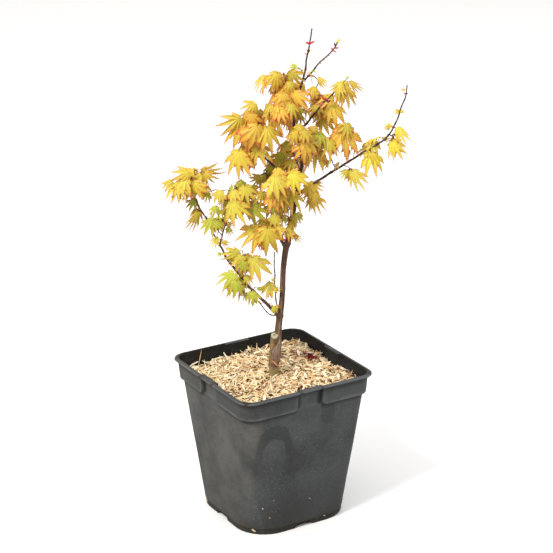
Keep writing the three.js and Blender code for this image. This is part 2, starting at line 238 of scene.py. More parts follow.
def pot_material(name="moulded_plastic", dim=1.0):
    """Charcoal moulded plastic with dust, water marks and a dirty foot, and painted shade and painted highlights about
    the raised band and the lip; a dim copy is painted shade for the inside.
    """
    n = Nodes(name)
    z = n.axis(2)
    big = n.noise(7, 3, 0.5)
    cloud = n.noise(24, 5, 0.62)
    grain = n.noise(420, 3, 0.75)
    fine = n.noise(1500, 2, 0.7)
    base = n.mix(n.range(big, 0.35, 0.68), lin(54, 55, 56), lin(74, 76, 77))
    west = n.range(n.axis(0), -0.062, -0.074)
    # grey-brown haze, stronger high on the walls and towards the corners
    haze = n.math("MULTIPLY", n.range(cloud, 0.36, 0.70, 0, 1, True), n.range(z, 0.02, 0.15, 0.25, 0.62))
    # the left (-X) wall is made paler and warmer
    haze = n.math("ADD", haze, n.math("MULTIPLY", west, n.range(cloud, 0.3, 0.65, 0.1, 0.4)), True)
    base = n.mix(haze, base, n.mix(west, lin(92, 95, 97), lin(99, 98, 93)))
    # fine bluish dust
    dusty = n.math("MULTIPLY", n.range(grain, 0.48, 0.68), n.range(n.noise(13, 4, 0.6), 0.32, 0.62, 0.25, 1))
    base = n.mix(n.math("MULTIPLY", dusty, 0.45), base, lin(106, 113, 120))
    fleck = n.math("MULTIPLY", n.range(fine, 0.66, 0.72), n.range(cloud, 0.40, 0.60, 0.15, 1))
    base = n.mix(n.math("MULTIPLY", fleck, 0.8), base, lin(142, 152, 162))
    some = n.range(n.noise(70, 3, 0.7), 0.48, 0.60)
    speck = n.math("MULTIPLY", n.range(n.voronoi(330), 0.11, 0.20, 1, 0), some)
    base = n.mix(n.math("MULTIPLY", speck, n.range(n.axis(0), -0.078, -0.064, 0.35, 0.75)), base, lin(146, 158, 170))
    # dark water marks high on the walls
    mark = n.noise(20, 2, 0.45, n.scaled(1, 1, 0.7))
    edge = n.range(mark, 0.555, 0.575, 0, 1, True)
    high = n.math("MULTIPLY", n.range(z, 0.105, 0.13), n.range(z, 0.168, 0.171, 1, 0))
    edge = n.math("MULTIPLY", edge, n.range(n.axis(0), -0.070, -0.062, 0.15, 1))
    edge = n.math("MULTIPLY", edge, n.range(n.axis(1), -0.076, -0.070))
    base = n.mix(n.math("MULTIPLY", n.math("MULTIPLY", edge, high), 0.5), base, lin(44, 46, 46))
    # the front wall is paler high up and darker towards the foot
    front = n.range(n.axis(1), -0.070, -0.073)
    base = n.mix(n.math("MULTIPLY", n.math("MULTIPLY", front, n.range(z, 0.105, 0.155, 0, 1, True)), n.range(n.axis(0), -0.072, -0.030, 0, 0.30, True)), base, lin(104, 108, 110))
    base = n.mix(n.math("MULTIPLY", n.math("MULTIPLY", front, n.range(z, 0.080, 0.022, 0, 1, True)), 0.38), base, lin(42, 42, 40))
    # one arched mark on the front wall, thick at its top, with a broad leg and a thin one
    wob = n.math("MULTIPLY", n.math("SUBTRACT", n.noise(46, 4, 0.6), 0.5), 0.62)

    def arch(cx, cz, rx, rz):
        dx = n.math("DIVIDE", n.math("SUBTRACT", n.axis(0), cx), rx)
        dz = n.math("DIVIDE", n.math("SUBTRACT", z, cz), rz)
        r2 = n.math("ADD", n.math("MULTIPLY", dx, dx), n.math("MULTIPLY", dz, dz))
        return n.math("ADD", n.math("SQRT", r2), wob)

    outer = n.range(arch(-0.0480, 0.1225, 0.0255, 0.036), 1.06, 0.92, 0, 1, True)
    inner = n.range(arch(-0.0480, 0.1130, 0.0180, 0.0250), 0.90, 1.02, 0, 1, True)
    cut = n.range(n.math("ADD", z, n.math("MULTIPLY", wob, 0.02)), 0.104, 0.124, 0, 1, True)
    stain = n.math("MULTIPLY", n.math("MULTIPLY", outer, inner), n.math("MULTIPLY", front, cut))
    base = n.mix(n.math("MULTIPLY", stain, 0.46), base, lin(42, 44, 44))
    drop = n.math("MULTIPLY", front, n.range(arch(0.0290, 0.1560, 0.0110, 0.0170), 1.05, 0.93, 0, 1, True))
    base = n.mix(n.math("MULTIPLY", drop, 0.36), base, lin(42, 44, 44))
    dry = n.math("MULTIPLY", n.math("MULTIPLY", outer, n.math("SUBTRACT", 1.0, inner)), n.math("MULTIPLY", front, cut))
    base = n.mix(n.math("MULTIPLY", dry, 0.16), base, lin(112, 115, 116))
    # paler edge along the bottom of the raised band: rubbed dust and painted highlight
    band = n.math("MULTIPLY", n.range(z, 0.1702, 0.1712), n.range(z, 0.1722, 0.1765, 1, 0, True))
    band = n.math("MULTIPLY", band, n.range(n.noise(60, 3), 0.35, 0.6))
    base = n.mix(n.math("MULTIPLY", band, 0.5), base, lin(118, 122, 122))
    s = n.math("MINIMUM", n.math("ABSOLUTE", n.axis(0)), n.math("ABSOLUTE", n.axis(1)))
    gap = SKIRT_GAP * MM
    over = n.range(z, 0.1705, 0.1725)
    under_lip = n.range(z, 0.1935, 0.1925)
    # painted highlight on the ends of the raised band, below the lip
    ends = n.math("MULTIPLY", n.range(s, gap + 0.0001, gap + 0.0005), n.range(s, gap + 0.0009, gap + 0.0070, 1, 0, True))
    base = n.mix(n.math("MULTIPLY", n.math("MULTIPLY", ends, over), n.math("MULTIPLY", under_lip, 0.42)), base, lin(116, 120, 120))
    # painted shade: a painted shadow below the raised band, painted shade in the gap beside its ends and a painted
    # shadow under the lip
    below = n.math("MULTIPLY", n.range(z, 0.1615, 0.1703, 0, 1, True), n.range(z, 0.1703, 0.1706, 1, 0))
    below = n.math("MULTIPLY", below, n.range(s, gap - 0.001, gap + 0.002))
    nook = n.math("MULTIPLY", n.math("MULTIPLY", n.range(s, gap - 0.0085, gap - 0.0020, 0, 1, True), n.range(s, gap + 0.0001, gap + 0.0003, 1, 0)), over)
    eave = n.math("MULTIPLY", n.range(z, 0.184, 0.1938, 0, 0.8, True), n.range(z, 0.1938, 0.1942, 1, 0))
    # the raised band is a little darker than the wall it stands on
    raised = n.math("MULTIPLY", n.range(s, gap + 0.0001, gap + 0.0005), n.math("MULTIPLY", n.range(z, 0.1716, 0.1740), under_lip))
    base = n.mix(n.math("MULTIPLY", raised, n.range(n.axis(0), 0.0, 0.03, 0.26, 0.10)), base, lin(44, 45, 45))
    painted_shade = n.math("MAXIMUM", n.math("MAXIMUM", below, nook), eave)
    base = n.mix(n.math("MULTIPLY", painted_shade, 0.80), base, lin(28, 28, 27))
    # painted shade on the top of the lip
    lip = n.range(z, 0.19575, 0.1962)
    base = n.mix(n.math("MULTIPLY", lip, 0.62), base, lin(36, 37, 36))
    # painted shade along the inner edge of the lip, where it turns down into the pot
    wide = n.math("MAXIMUM", n.math("ABSOLUTE", n.axis(0)), n.math("ABSOLUTE", n.axis(1)))
    ledge = n.math("MULTIPLY", n.range(wide, 0.0929, 0.0923), n.range(z, 0.1945, 0.1950))
    base = n.mix(n.math("MULTIPLY", ledge, 0.85), base, lin(22, 22, 21))
    # earth on the foot and a little above it
    lowz = n.math("ADD", z, n.math("MULTIPLY", n.math("SUBTRACT", cloud, 0.5), 0.022))
    base = n.mix(n.math("MULTIPLY", n.range(lowz, 0.004, 0.026, 1, 0, True), 0.5), base, lin(62, 60, 54))
    foot = n.range(z, 0.0074, 0.0082, 1, 0)
    base = n.mix(n.math("MULTIPLY", foot, 0.72), base, lin(42, 38, 32))
    clod = n.math("MULTIPLY", foot, n.range(n.noise(150, 4, 0.7), 0.50, 0.66))
    base = n.mix(n.math("MULTIPLY", clod, 0.6), base, lin(92, 76, 56))
    base = n.mix(n.math("MULTIPLY", n.range(z, 0.0012, 0.0002), 0.7), base, lin(96, 66, 44))
    rough = n.range(cloud, 0.3, 0.75, 0.46, 0.68)
    h = n.math("ADD", n.math("MULTIPLY", fine, 0.2), n.math("MULTIPLY", n.noise(120, 3), 0.8))
    # a dim copy is darker all over: painted shade for the pot's inside
    if dim < 1:
        base = n.mix(1 - dim, base, lin(25, 25, 23))
    return n.out(base, rough, n.bump(h, 0.30, 0.0006), 0.40 if dim == 1 else 0.2)


def bark_material():
    """Stem: moss and straw-brown at the foot, a smooth pinkish patch at the graft, grey-brown above."""
    n = Nodes("stem_bark")
    z = n.axis(2)
    long_ = n.scaled(1, 1, 0.16)
    streak = n.noise(420, 4, 0.6, long_, 0.3)
    patch = n.noise(90, 4, 0.55)
    grey = n.mix(n.range(streak, 0.3, 0.72), lin(74, 50, 38), lin(128, 102, 84))
    grey = n.mix(n.range(n.noise(240, 3, 0.6, n.scaled(1, 1, 0.5)), 0.55, 0.75), grey, lin(156, 136, 120))
    root = n.mix(n.range(streak, 0.3, 0.7), lin(104, 84, 54), lin(188, 164, 122))
    moss = n.mix(n.range(patch, 0.36, 0.60), root, lin(104, 96, 58))
    root = n.mix(n.range(z, 0.190, 0.206, 1, 0.25, True), root, moss)
    dark = n.range(n.noise(70, 3, 0.6, n.scaled(1, 1, 0.4)), 0.52, 0.66)
    root = n.mix(n.math("MULTIPLY", dark, 0.6), root, lin(66, 50, 36))
    col = n.mix(n.range(n.math("ADD", z, n.math("MULTIPLY", n.math("SUBTRACT", patch, 0.5), 0.02)), 0.226, 0.246, 0, 1, True), root, grey)
    across = n.math("ADD", n.math("MULTIPLY", n.axis(0), CT), n.math("MULTIPLY", n.axis(1), ST))
    deep = n.math("SUBTRACT", n.math("MULTIPLY", n.axis(1), CT), n.math("MULTIPLY", n.axis(0), ST))
    # above the graft: olive on one side, a pale streak, then red-brown
    middle = n.range(z, 0.2105, 0.267, 0.0042, 0.0112)
    off = n.math("SUBTRACT", n.math("ADD", across, n.math("MULTIPLY", n.math("SUBTRACT", n.noise(60, 3, 0.6, n.scaled(1, 1, 0.4)), 0.5), 0.004)), middle)
    high = n.range(z, 0.226, 0.238)
    col = n.mix(n.math("MULTIPLY", n.math("MULTIPLY", n.range(off, -0.0002, -0.0018), high), 0.5), col, lin(98, 78, 46))
    col = n.mix(n.math("MULTIPLY", n.math("MULTIPLY", n.range(off, 0.0016, 0.0026), high), 0.5), col, lin(104, 64, 52))
    pale = n.math("MULTIPLY", n.range(n.math("ABSOLUTE", n.math("SUBTRACT", off, 0.0008)), 0.0004, 0.0012, 1, 0), n.range(streak, 0.35, 0.6))
    col = n.mix(n.math("MULTIPLY", n.math("MULTIPLY", pale, high), 0.45), col, lin(176, 156, 128))
    # the smooth patch of the graft: its left edge wanders up the stem and ends under the cut
    wob = n.math("MULTIPLY", n.math("SUBTRACT", n.noise(150, 3, 0.6), 0.5), 0.0030)
    left = n.range(z, 0.219, 0.2305, 0.0011, 0.0099)
    low_left = n.math("ADD", n.range(z, 0.2030, 0.2060, -0.0026, -0.0002), n.range(z, 0.1960, 0.1900, 0.0, 0.0052))
    step = n.range(z, 0.2185, 0.2190)
    left = n.math("ADD", n.math("MULTIPLY", left, step), n.math("MULTIPLY", low_left, n.math("SUBTRACT", 1.0, step)))
    depth = n.math("ADD", n.math("SUBTRACT", across, left), wob)
    front = n.math("MULTIPLY", n.range(deep, 0.0012, -0.0008), n.range(z, 0.1885, 0.1925))
    lens = n.math("MULTIPLY", n.range(depth, -0.0003, 0.0004, 0, 1, True), n.math("MULTIPLY", front, n.range(z, 0.2325, 0.2305)))
    smooth = n.mix(n.range(n.noise(160, 3, 0.5, n.scaled(1, 1, 0.5)), 0.35, 0.7), lin(124, 98, 86), lin(164, 144, 128))
    brown = n.mix(n.range(n.noise(260, 4, 0.6), 0.4, 0.65), lin(104, 72, 54), lin(150, 118, 92))
    smooth = n.mix(n.range(z, 0.2065, 0.2035, 0, 1, True), smooth, brown)
    scar = n.range(n.voronoi(150, n.scaled(1, 1, 0.8)), 0.10, 0.24, 1, 0)
    smooth = n.mix(n.math("MULTIPLY", scar, 0.6), smooth, lin(92, 56, 42))
    col = n.mix(n.math("MULTIPLY", lens, 0.88), col, smooth)
    ridge = n.math("MULTIPLY", n.range(n.math("ABSOLUTE", n.math("SUBTRACT", depth, 0.0003)), 0.0003, 0.0008, 1, 0), n.math("MULTIPLY", front, n.range(z, 0.2330, 0.2310)))
    col = n.mix(n.math("MULTIPLY", n.math("MULTIPLY", ridge, n.range(z, 0.214, 0.220, 0.15, 1)), 0.7), col, lin(196, 178, 158))
    groove = n.math("MULTIPLY", n.range(n.math("ABSOLUTE", n.math("ADD", depth, 0.0009)), 0.0003, 0.0009, 1, 0), n.math("MULTIPLY", front, n.range(z, 0.2330, 0.2310)))
    col = n.mix(n.math("MULTIPLY", n.math("MULTIPLY", groove, n.range(patch, 0.35, 0.55, 0.3, 1)), 0.75), col, lin(56, 42, 28))
    dx = n.math("DIVIDE", n.math("SUBTRACT", across, 0.0024), 0.0017)
    dz = n.math("DIVIDE", n.math("SUBTRACT", z, 0.2055), 0.0010)
    spot = n.math("ADD", n.math("MULTIPLY", dx, dx), n.math("MULTIPLY", dz, dz))
    col = n.mix(n.math("MULTIPLY", n.range(spot, 0.5, 1.2, 0.9, 0), front), col, lin(86, 38, 22))
    # moss on the left of the graft, and a paler mossy foot
    moss2 = n.math("MULTIPLY", n.range(depth, 0.0, -0.0010), n.math("MULTIPLY", n.range(z, 0.219, 0.214), n.range(patch, 0.32, 0.55, 0.35, 1)))
    col = n.mix(n.math("MULTIPLY", moss2, 0.65), col, lin(134, 124, 70))
    foot = n.range(n.math("ADD", z, wob), 0.1945, 0.1905)
    col = n.mix(n.math("MULTIPLY", foot, n.range(patch, 0.30, 0.60, 0.45, 0.8)), col, lin(152, 134, 84))
    flake = n.math("MULTIPLY", n.range(n.noise(170, 3, 0.6), 0.54, 0.60), n.math("MULTIPLY", n.range(z, 0.218, 0.222), n.range(z, 0.231, 0.228)))
    col = n.mix(n.math("MULTIPLY", n.math("MULTIPLY", flake, n.range(depth, 0.0, -0.001)), 0.6), col, lin(184, 122, 70))
    # small pale breathing pores
    pores = n.range(n.voronoi(300, n.scaled(1, 1, 0.6)), 0.08, 0.16, 1, 0)
    col = n.mix(n.math("MULTIPLY", n.math("MULTIPLY", pores, n.range(z, 0.236, 0.25)), 0.5), col, lin(196, 180, 160))
    h = n.math("ADD", n.math("MULTIPLY", streak, 0.6), n.math("MULTIPLY", n.noise(900, 2), 0.3))
    return n.out(col, n.range(streak, 0.3, 0.7, 0.62, 0.8), n.bump(h, 0.6, 0.0006), 0.3)


def bough_material():
    """Boughs: grey-brown near the stem, dark purple-brown towards the tips."""
    n = Nodes("bough_bark")
    streak = n.noise(500, 3, 0.6, n.scaled(1, 1, 0.3))
    patch = n.noise(60, 3)
    col = n.mix(n.range(streak, 0.3, 0.72), lin(46, 24, 24), lin(84, 54, 48))
    col = n.mix(n.range(patch, 0.46, 0.66, 0, 0.5), col, lin(112, 90, 76))
    col = n.mix(n.math("MULTIPLY", n.range(n.axis(2), 0.35, 0.46, 1, 0), n.range(streak, 0.3, 0.7, 0.2, 0.6)), col, lin(118, 94, 78))
    pores = n.range(n.voronoi(420), 0.07, 0.14, 1, 0)
    col = n.mix(n.math("MULTIPLY", pores, 0.55), col, lin(186, 160, 138))
    return n.out(col, n.range(streak, 0.3, 0.7, 0.45, 0.65), n.bump(streak, 0.5, 0.0004), 0.4)


def cut_material():
    """Sawn face of the rootstock stub: pale wood, a ring and a darker pith."""
    n = Nodes("sawn_wood")
    grain = n.noise(700, 3, 0.6)
    col = n.mix(n.range(grain, 0.3, 0.7), lin(158, 152, 122), lin(204, 198, 168))
    d = n.t.nodes.new("ShaderNodeVectorMath")
    d.operation = "DISTANCE"
    n.link(n.co, d.inputs[0])
    d.inputs[1].default_value = tuple(world((3.3, -5.2, 238.6)))
    off = n.math("ADD", d.outputs["Value"], n.math("MULTIPLY", n.math("SUBTRACT", n.noise(500, 3), 0.5), 0.0016))
    col = n.mix(n.range(off, 0.0024, 0.0010, 0, 0.75, True), col, lin(108, 104, 76))
    col = n.mix(n.range(off, 0.0010, 0.0004, 0, 0.7), col, lin(66, 58, 40))
    col = n.mix(n.math("MULTIPLY", n.range(n.math("ABSOLUTE", n.math("SUBTRACT", off, 0.0032)), 0.0001, 0.0004, 1, 0), 0.3), col, lin(126, 118, 88))
    return n.out(col, 0.75, n.bump(grain, 0.4, 0.0003), 0.3)


def compost_material():
    n = Nodes("compost")
    a = n.noise(220, 5, 0.7)
    col = n.mix(n.range(a, 0.3, 0.7), lin(34, 24, 18), lin(92, 68, 48))
    return n.out(col, 0.95, n.bump(a, 0.9, 0.002), 0.2)


def bed_material():
    n = Nodes("mulch_bed")
    a = n.noise(330, 4, 0.7, n.scaled(1, 0.5, 1))
    b = n.noise(120, 3)
    col = n.mix(n.range(a, 0.35, 0.65), lin(70, 46, 28), lin(182, 146, 98))
    col = n.mix(n.range(b, 0.55, 0.7), col, lin(58, 40, 28))
    return n.out(col, 0.9, n.bump(a, 0.9, 0.002), 0.2)


# ------------------------------------------------------------------ mesh helpers
def make(name, verts, faces, mats, index=None, smooth=True):
    """A mesh object from points in metres."""
    me = bpy.data.meshes.new(name)
    me.from_pydata([tuple(v) for v in verts], [], [tuple(f) for f in faces])
    for mat in mats:
        me.materials.append(mat)
    if index is not None:
        me.polygons.foreach_set("material_index", np.asarray(index, np.int32))
    me.polygons.foreach_set("use_smooth", np.full(len(me.polygons), smooth))
    me.validate()
    me.update()
    o = bpy.data.objects.new(name, me)
    scene.collection.objects.link(o)
    return o


class Pile:
    """Gathers many small meshes of one kind into a few pieces under a triangle limit."""

    def __init__(self, name, mats, limit=180000):
        self.name, self.mats, self.limit = name, mats, limit
        self.sets, self.v, self.f, self.m, self.n, self.t = [], [], [], [], 0, 0

    def add(self, verts, faces, index):
        tris = sum(len(f) - 2 for f in faces)
        if self.t + tris > self.limit:
            self.close()
        n = self.n
        self.v.append(np.asarray(verts, float))
        self.f.extend([tuple(k + n for k in f) for f in faces])
        self.m.extend(index if hasattr(index, "__len__") else [index] * len(faces))
        self.n += len(verts)
        self.t += tris

    def close(self):
        if self.n:
            self.sets.append((np.concatenate(self.v), self.f, self.m))
        self.v, self.f, self.m, self.n, self.t = [], [], [], 0, 0

    def build(self, smooth=True):
        self.close()
        out = []
        for k, (v, f, m) in enumerate(self.sets):
            o = make(self.name if len(self.sets) == 1 else f"{self.name}_{k + 1}", v, f, self.mats, m, smooth)
            out.append(o)
        return out


def catmull(points, steps):
    """Points along a centripetal curve through the given points."""
    p = [np.asarray(q, float) for q in points]
    p = [2 * p[0] - p[1]] + p + [2 * p[-1] - p[-2]]
    out = []
    for i in range(1, len(p) - 2):
        a, b, c, d = p[i - 1:i + 3]
        t0 = 0.0
        t1 = t0 + max(1e-6, np.linalg.norm(b - a)) ** 0.5
        t2 = t1 + max(1e-6, np.linalg.norm(c - b)) ** 0.5
        t3 = t2 + max(1e-6, np.linalg.norm(d - c)) ** 0.5
        for k in range(steps):
            t = t1 + (t2 - t1) * k / steps
            a1 = (t1 - t) / (t1 - t0) * a + (t - t0) / (t1 - t0) * b
            a2 = (t2 - t) / (t2 - t1) * b + (t - t1) / (t2 - t1) * c
            a3 = (t3 - t) / (t3 - t2) * c + (t - t2) / (t3 - t2) * d
            b1 = (t2 - t) / (t2 - t0) * a1 + (t - t0) / (t2 - t0) * a2
            b2 = (t3 - t) / (t3 - t1) * a2 + (t - t1) / (t3 - t1) * a3
            out.append((t2 - t) / (t2 - t1) * b1 + (t - t1) / (t2 - t1) * b2)
    out.append(p[-2])
    return np.array(out)


def even(points, step):
    """The same curve at even steps, with the distance along it."""
    seg = np.linalg.norm(np.diff(points, axis=0), axis=1)
    s = np.concatenate([[0], np.cumsum(seg)])
    n = max(2, int(round(s[-1] / step)) + 1)
    q = np.linspace(0, s[-1], n)
    return np.stack([np.interp(q, s, points[:, k]) for k in range(3)], 1), q


def frames(c):
    """Tangent and two cross directions along a curve, turning as little as possible."""
    t = np.gradient(c, axis=0)
    t /= np.linalg.norm(t, axis=1)[:, None] + 1e-12
    u = np.cross(t[0], [0.0, 1.0, 0.3])
    u /= np.linalg.norm(u)
    us = []
    for k in range(len(c)):
        u = u - t[k] * (u @ t[k])
        u /= np.linalg.norm(u) + 1e-12
        us.append(u)
    us = np.array(us)
    return t, us, np.cross(t, us)


def tube(c, r, sides, cap=True, shape=None):
    """A closed tube round the curve c (mm) with radius r at each point."""
    t, u, v = frames(c)
    a = np.arange(sides) / sides * 2 * math.pi
    rr = np.repeat(np.asarray(r, float)[:, None], sides, 1)
    if shape is not None:
        rr = rr * shape(len(c), sides)
    ring = c[:, None, :] + rr[..., None] * (np.cos(a)[None, :, None] * u[:, None, :] + np.sin(a)[None, :, None] * v[:, None, :])
    verts = ring.reshape(-1, 3)
    faces = []
    for k in range(len(c) - 1):
        for i in range(sides):
            j = (i + 1) % sides
            faces.append((k * sides + i, k * sides + j, (k + 1) * sides + j, (k + 1) * sides + i))
    if cap:
        n = len(verts)
        verts = np.concatenate([verts, c[:1] - t[:1] * rr[0, 0] * 0.3, c[-1:] + t[-1:] * rr[-1, 0] * 0.6])
        e = (len(c) - 1) * sides
        for i in range(sides):
            j = (i + 1) % sides
            faces.append((n, j, i))
            faces.append((n + 1, e + i, e + j))
    return verts, faces


# ------------------------------------------------------------------ pot
POT_HEIGHT, LIP_WIDTH, WALL = 197.0, 194.6, 1.6
WALL_LOW, WALL_HIGH, CORNER_LOW, CORNER_HIGH = 154.0, 176.3, 44.0, 17.0
FOOT_WIDTH, FOOT_HEIGHT, FLOOR = 151.6, 8.0, 2.0
SKIRT_LOW, SKIRT_PROUD, SKIRT_GAP = 170.2, 4.2, 17.5
NOTCH_WIDTH, NOTCH_TOP, NOTCH_HEIGHT, NOTCH_DEPTH = 28.0, 17.0, 6.0, 12.0
COMPOST_TOP, MULCH_TOP, MULCH_BUMP = 173.4, 182.6, 1.7
mix = lambda a, b, t: a + (b - a) * t
wall_width = lambda z: mix(WALL_LOW, WALL_HIGH, (z - FOOT_HEIGHT) / (SKIRT_LOW - FOOT_HEIGHT))
wall_corner = lambda z: mix(CORNER_LOW, CORNER_HIGH, min(1.0, (z - FOOT_HEIGHT) / (SKIRT_LOW - FOOT_HEIGHT)))
smooth01 = lambda t: (lambda q: q * q * (3 - 2 * q))(min(1.0, max(0.0, t)))


def build_pot():
    # places round one side, from corner arc to corner arc: s is the distance from the
    # middle of the side, and the arc is stepped by angle
    flat = [0.0, 5, 10, 13.5, 15.5, 16.6] + [17.3 + 0.2 * k for k in range(7)] + [19.0 + 0.5 * k for k in range(14)] + [27, 30, 34, 40, 48, 57]
    arc = 18

    def ring(width, radius, z, proud):
        """proud(s, z) is how far the point stands out of the wall."""
        pts, h = [], width / 2
        reach = h - radius
        for q in range(4):
            c, s_ = math.cos(q * math.pi / 2), math.sin(q * math.pi / 2)
            loc = []
            for s in [-f for f in reversed(flat[1:])] + flat:
                a = abs(s)
                s2 = math.copysign(a if a <= 19 else 19 + (a - 19) * (0.96 * reach - 19) / 38.0, s)
                loc.append((h + proud(s2, z), s2))
            for k in range(1, arc):
                a = k / arc * math.pi / 2
                p = radius + proud(99, z)
                loc.append((reach + p * math.cos(a), reach + p * math.sin(a)))
            for x, y in loc:
                pts.append((x * c - y * s_, x * s_ + y * c, z))
        return pts

    def skirt(s, z, edge=0.55):
        # rounded lower corner where the band breaks
        rad = 6.5
        dx, dz = abs(s) - SKIRT_GAP, z - SKIRT_LOW
        if dx > rad or dz > rad:
            d = min(dx, dz)
        else:
            d = rad - math.hypot(rad - dx, rad - dz)
        return SKIRT_PROUD * smooth01(d / edge)

    none = lambda s, z: 0.0
    out, inn = [], []
    # outside, from the foot up
    foot = lambda z: out.append(ring(FOOT_WIDTH, CORNER_LOW - 1, z, none))
    out.append(ring(FOOT_WIDTH - 1.6, CORNER_LOW - 1.8, 0, none))
    out.append(ring(FOOT_WIDTH - 0.5, CORNER_LOW - 1.2, 0.25, none))
    for z in (0.9, 2.5, 4.2, 5.5, 6.6):
        foot(z)
    out.append(ring(FOOT_WIDTH + 0.4, CORNER_LOW - 0.9, 7.2, none))
    out.append(ring(wall_width(8) - 1.0, CORNER_LOW - 0.3, 7.6, none))
    out.append(ring(wall_width(8) - 0.2, CORNER_LOW, 8.1, none))
    z = 9.2
    rows = [9.2, 11, 14] + list(np.arange(20, 166, 7.5)) + [167, 168.5, 169.4]
    rows += list(np.arange(169.9, 171.2, 0.2)) + list(np.arange(171.5, 177.6, 0.5)) + [179, 182, 185, 188, 190.5, 192, 193]
    for z in rows:
        out.append(ring(wall_width(z), wall_corner(z), z, lambda s, z: skirt(s, z)))
    top = POT_HEIGHT
    full = lambda s, z: SKIRT_PROUD * smooth01((abs(s) - SKIRT_GAP) / 0.6)
    w = wall_width(193.6)
    for f, z in ((0.0, 193.7), (0.10, 193.85), (0.5, 193.95), (0.90, 194.05), (0.98, 194.3)):
        base = w / 2
        out.append(ring(w + (LIP_WIDTH - w) * f, mix(CORNER_HIGH, CORNER_HIGH + 4, f), z,
                        (lambda f: lambda s, z: full(s, z) * (1 - f))(f)))
    for dw, z in ((0, 194.6), (0, 195.0), (-0.3, 195.42), (-1.0, 195.72), (-2.6, 195.98), (-5.2, 196.4), (-7.4, 196.78), (-8.7, 196.97), (-9.4, 197.0)):
        out.append(ring(LIP_WIDTH + dw, CORNER_HIGH + 4 + dw / 2, z, none))
    inside = lambda z: wall_width(z) - 2 * WALL
    # over the lip and down the inside
    w = inside(196)
    for f, z in ((0.35, 196.8), (0.78, 196.75), (0.95, 196.5), (1.0, 196.0)):
        out.append(ring(mix(LIP_WIDTH - 9.4, w, f), mix(CORNER_HIGH - 0.7, CORNER_HIGH - WALL, f), z,
                        (lambda f: lambda s, z: full(s, z) * f)(f)))
    inner_from = len(out) - 1
    inn_skirt = lambda s, z: SKIRT_PROUD * smooth01((min(abs(s) - SKIRT_GAP, z - SKIRT_LOW - 1.4)) / 1.3)
    for z in [194.5, 192, 189, 186, 183, 180, 177, 175, 173.6, 172.9, 172.4, 172.0, 171.6, 171.2, 169, 160, 140, 110, 80, 50, 25, 12, 9.6]:
        out.append(ring(inside(z), wall_corner(z) - WALL, z, inn_skirt))
    w = FOOT_WIDTH - 2 * WALL
    for z in (8.6, 6, 3):
        out.append(ring(w, CORNER_LOW - 1 - WALL, z, none))
    out.append(ring(w - 1, CORNER_LOW - 1.5 - WALL, FLOOR, none))
    n = len(out[0])
    verts = np.array([p for r in out for p in r], float)
    # the soft unevenness of a thin moulded wall
    for i, p in enumerate(verts):
        if 12 < p[2] < 191:
            f = noise.noise(Vector((p[0] / 55, p[1] / 55, p[2] / 70))) * 0.55
            d = Vector((p[0], p[1], 0)).normalized()
            verts[i, 0] += d.x * f
            verts[i, 1] += d.y * f
    faces = []
    for k in range(len(out) - 1):
        for i in range(n):
            j = (i + 1) % n
            faces.append((k * n + i, k * n + j, (k + 1) * n + j, (k + 1) * n + i))
    faces.append(tuple(range(n))[::-1])
    faces.append(tuple((len(out) - 1) * n + i for i in range(n)))
    ring_no = np.repeat(np.arange(len(out) - 1), n)
    # the inside faces take the darker copy of the plastic, painted shade
    o = make("pot_shell", verts * MM, faces, [pot_material(), pot_material("moulded_inside_painted_shade", 0.22)],
             np.concatenate([(ring_no >= inner_from).astype(int), [0, 1]]))
    # drainage notches
    bm = bmesh.new()
    for q in range(4):
        w2, t2, h = NOTCH_WIDTH / 2 + 0.9, NOTCH_TOP / 2, NOTCH_HEIGHT
        half = [(w2, -1.0), (t2 + 0.7, h - 0.9), (t2 + 0.1, h - 0.25), (t2 - 0.8, h)]
        prof = [(-w2, -1.0)] + half + [(-x, z) for x, z in reversed(half[1:])]
        ends = []
        for y in (-FOOT_WIDTH / 2 - 3, -FOOT_WIDTH / 2 + NOTCH_DEPTH):
            loop = []
            for x, z in prof:
                c, s_ = math.cos(q * math.pi / 2), math.sin(q * math.pi / 2)
                loop.append(bm.verts.new(((x * c - y * s_) * MM, (x * s_ + y * c) * MM, z * MM)))
            ends.append(loop)
        k = len(prof)
        bm.faces.new(ends[0])
        bm.faces.new(list(reversed(ends[1])))
        for i in range(k):
            j = (i + 1) % k
            bm.faces.new((ends[0][j], ends[0][i], ends[1][i], ends[1][j]))
    bmesh.ops.recalc_face_normals(bm, faces=bm.faces)
    me = bpy.data.meshes.new("notch")
    bm.to_mesh(me)
    bm.free()
    cutter = bpy.data.objects.new("notch", me)
    scene.collection.objects.link(cutter)
    mod = o.modifiers.new("cut", "BOOLEAN")
    mod.object, mod.operation, mod.solver = cutter, "DIFFERENCE", "EXACT"
    apply(o)
    bpy.data.objects.remove(cutter)
    shade(o, 28)
    return o


def apply(o):
    """The mesh with its modifiers worked in."""
    dg = bpy.context.evaluated_depsgraph_get()
    me = bpy.data.meshes.new_from_object(o.evaluated_get(dg))
    old = o.data
    o.modifiers.clear()
    o.data = me
    me.name = o.name
    bpy.data.meshes.remove(old)


def shade(o, angle):
    """Smooth shading with sharp edges over the angle."""
    me = o.data
    bm = bmesh.new()
    bm.from_mesh(me)
    for f in bm.faces:
        f.smooth = True
    for e in bm.edges:
        if len(e.link_faces) == 2:
            e.smooth = e.calc_face_angle(0) < math.radians(angle)
    bm.to_mesh(me)
    bm.free()


pot = build_pot()
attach(pot, "root"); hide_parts("pot")


# ------------------------------------------------------------------ mulch
def wave(x, y, z, s):
    return math.sin(x * 1.7 + s * 2.3) * math.cos(y * 1.9 - s * 1.1) + math.sin(z * 2.3 + s * 0.7 + x * 0.9)


def mulch_level(x, y):
    return (MULCH_TOP + MULCH_BUMP * 0.6 * wave(x / 17, y / 19, (x - y) / 23, 3)
            - 4.5 * math.exp(-((x + 62) ** 2 + (y - 74) ** 2) / 1100) - 1.6 * math.exp(-(x * x + y * y) / 500)
            - 2.4 * min(1, max(0, (max(abs(x), abs(y)) - 55) / 30)))


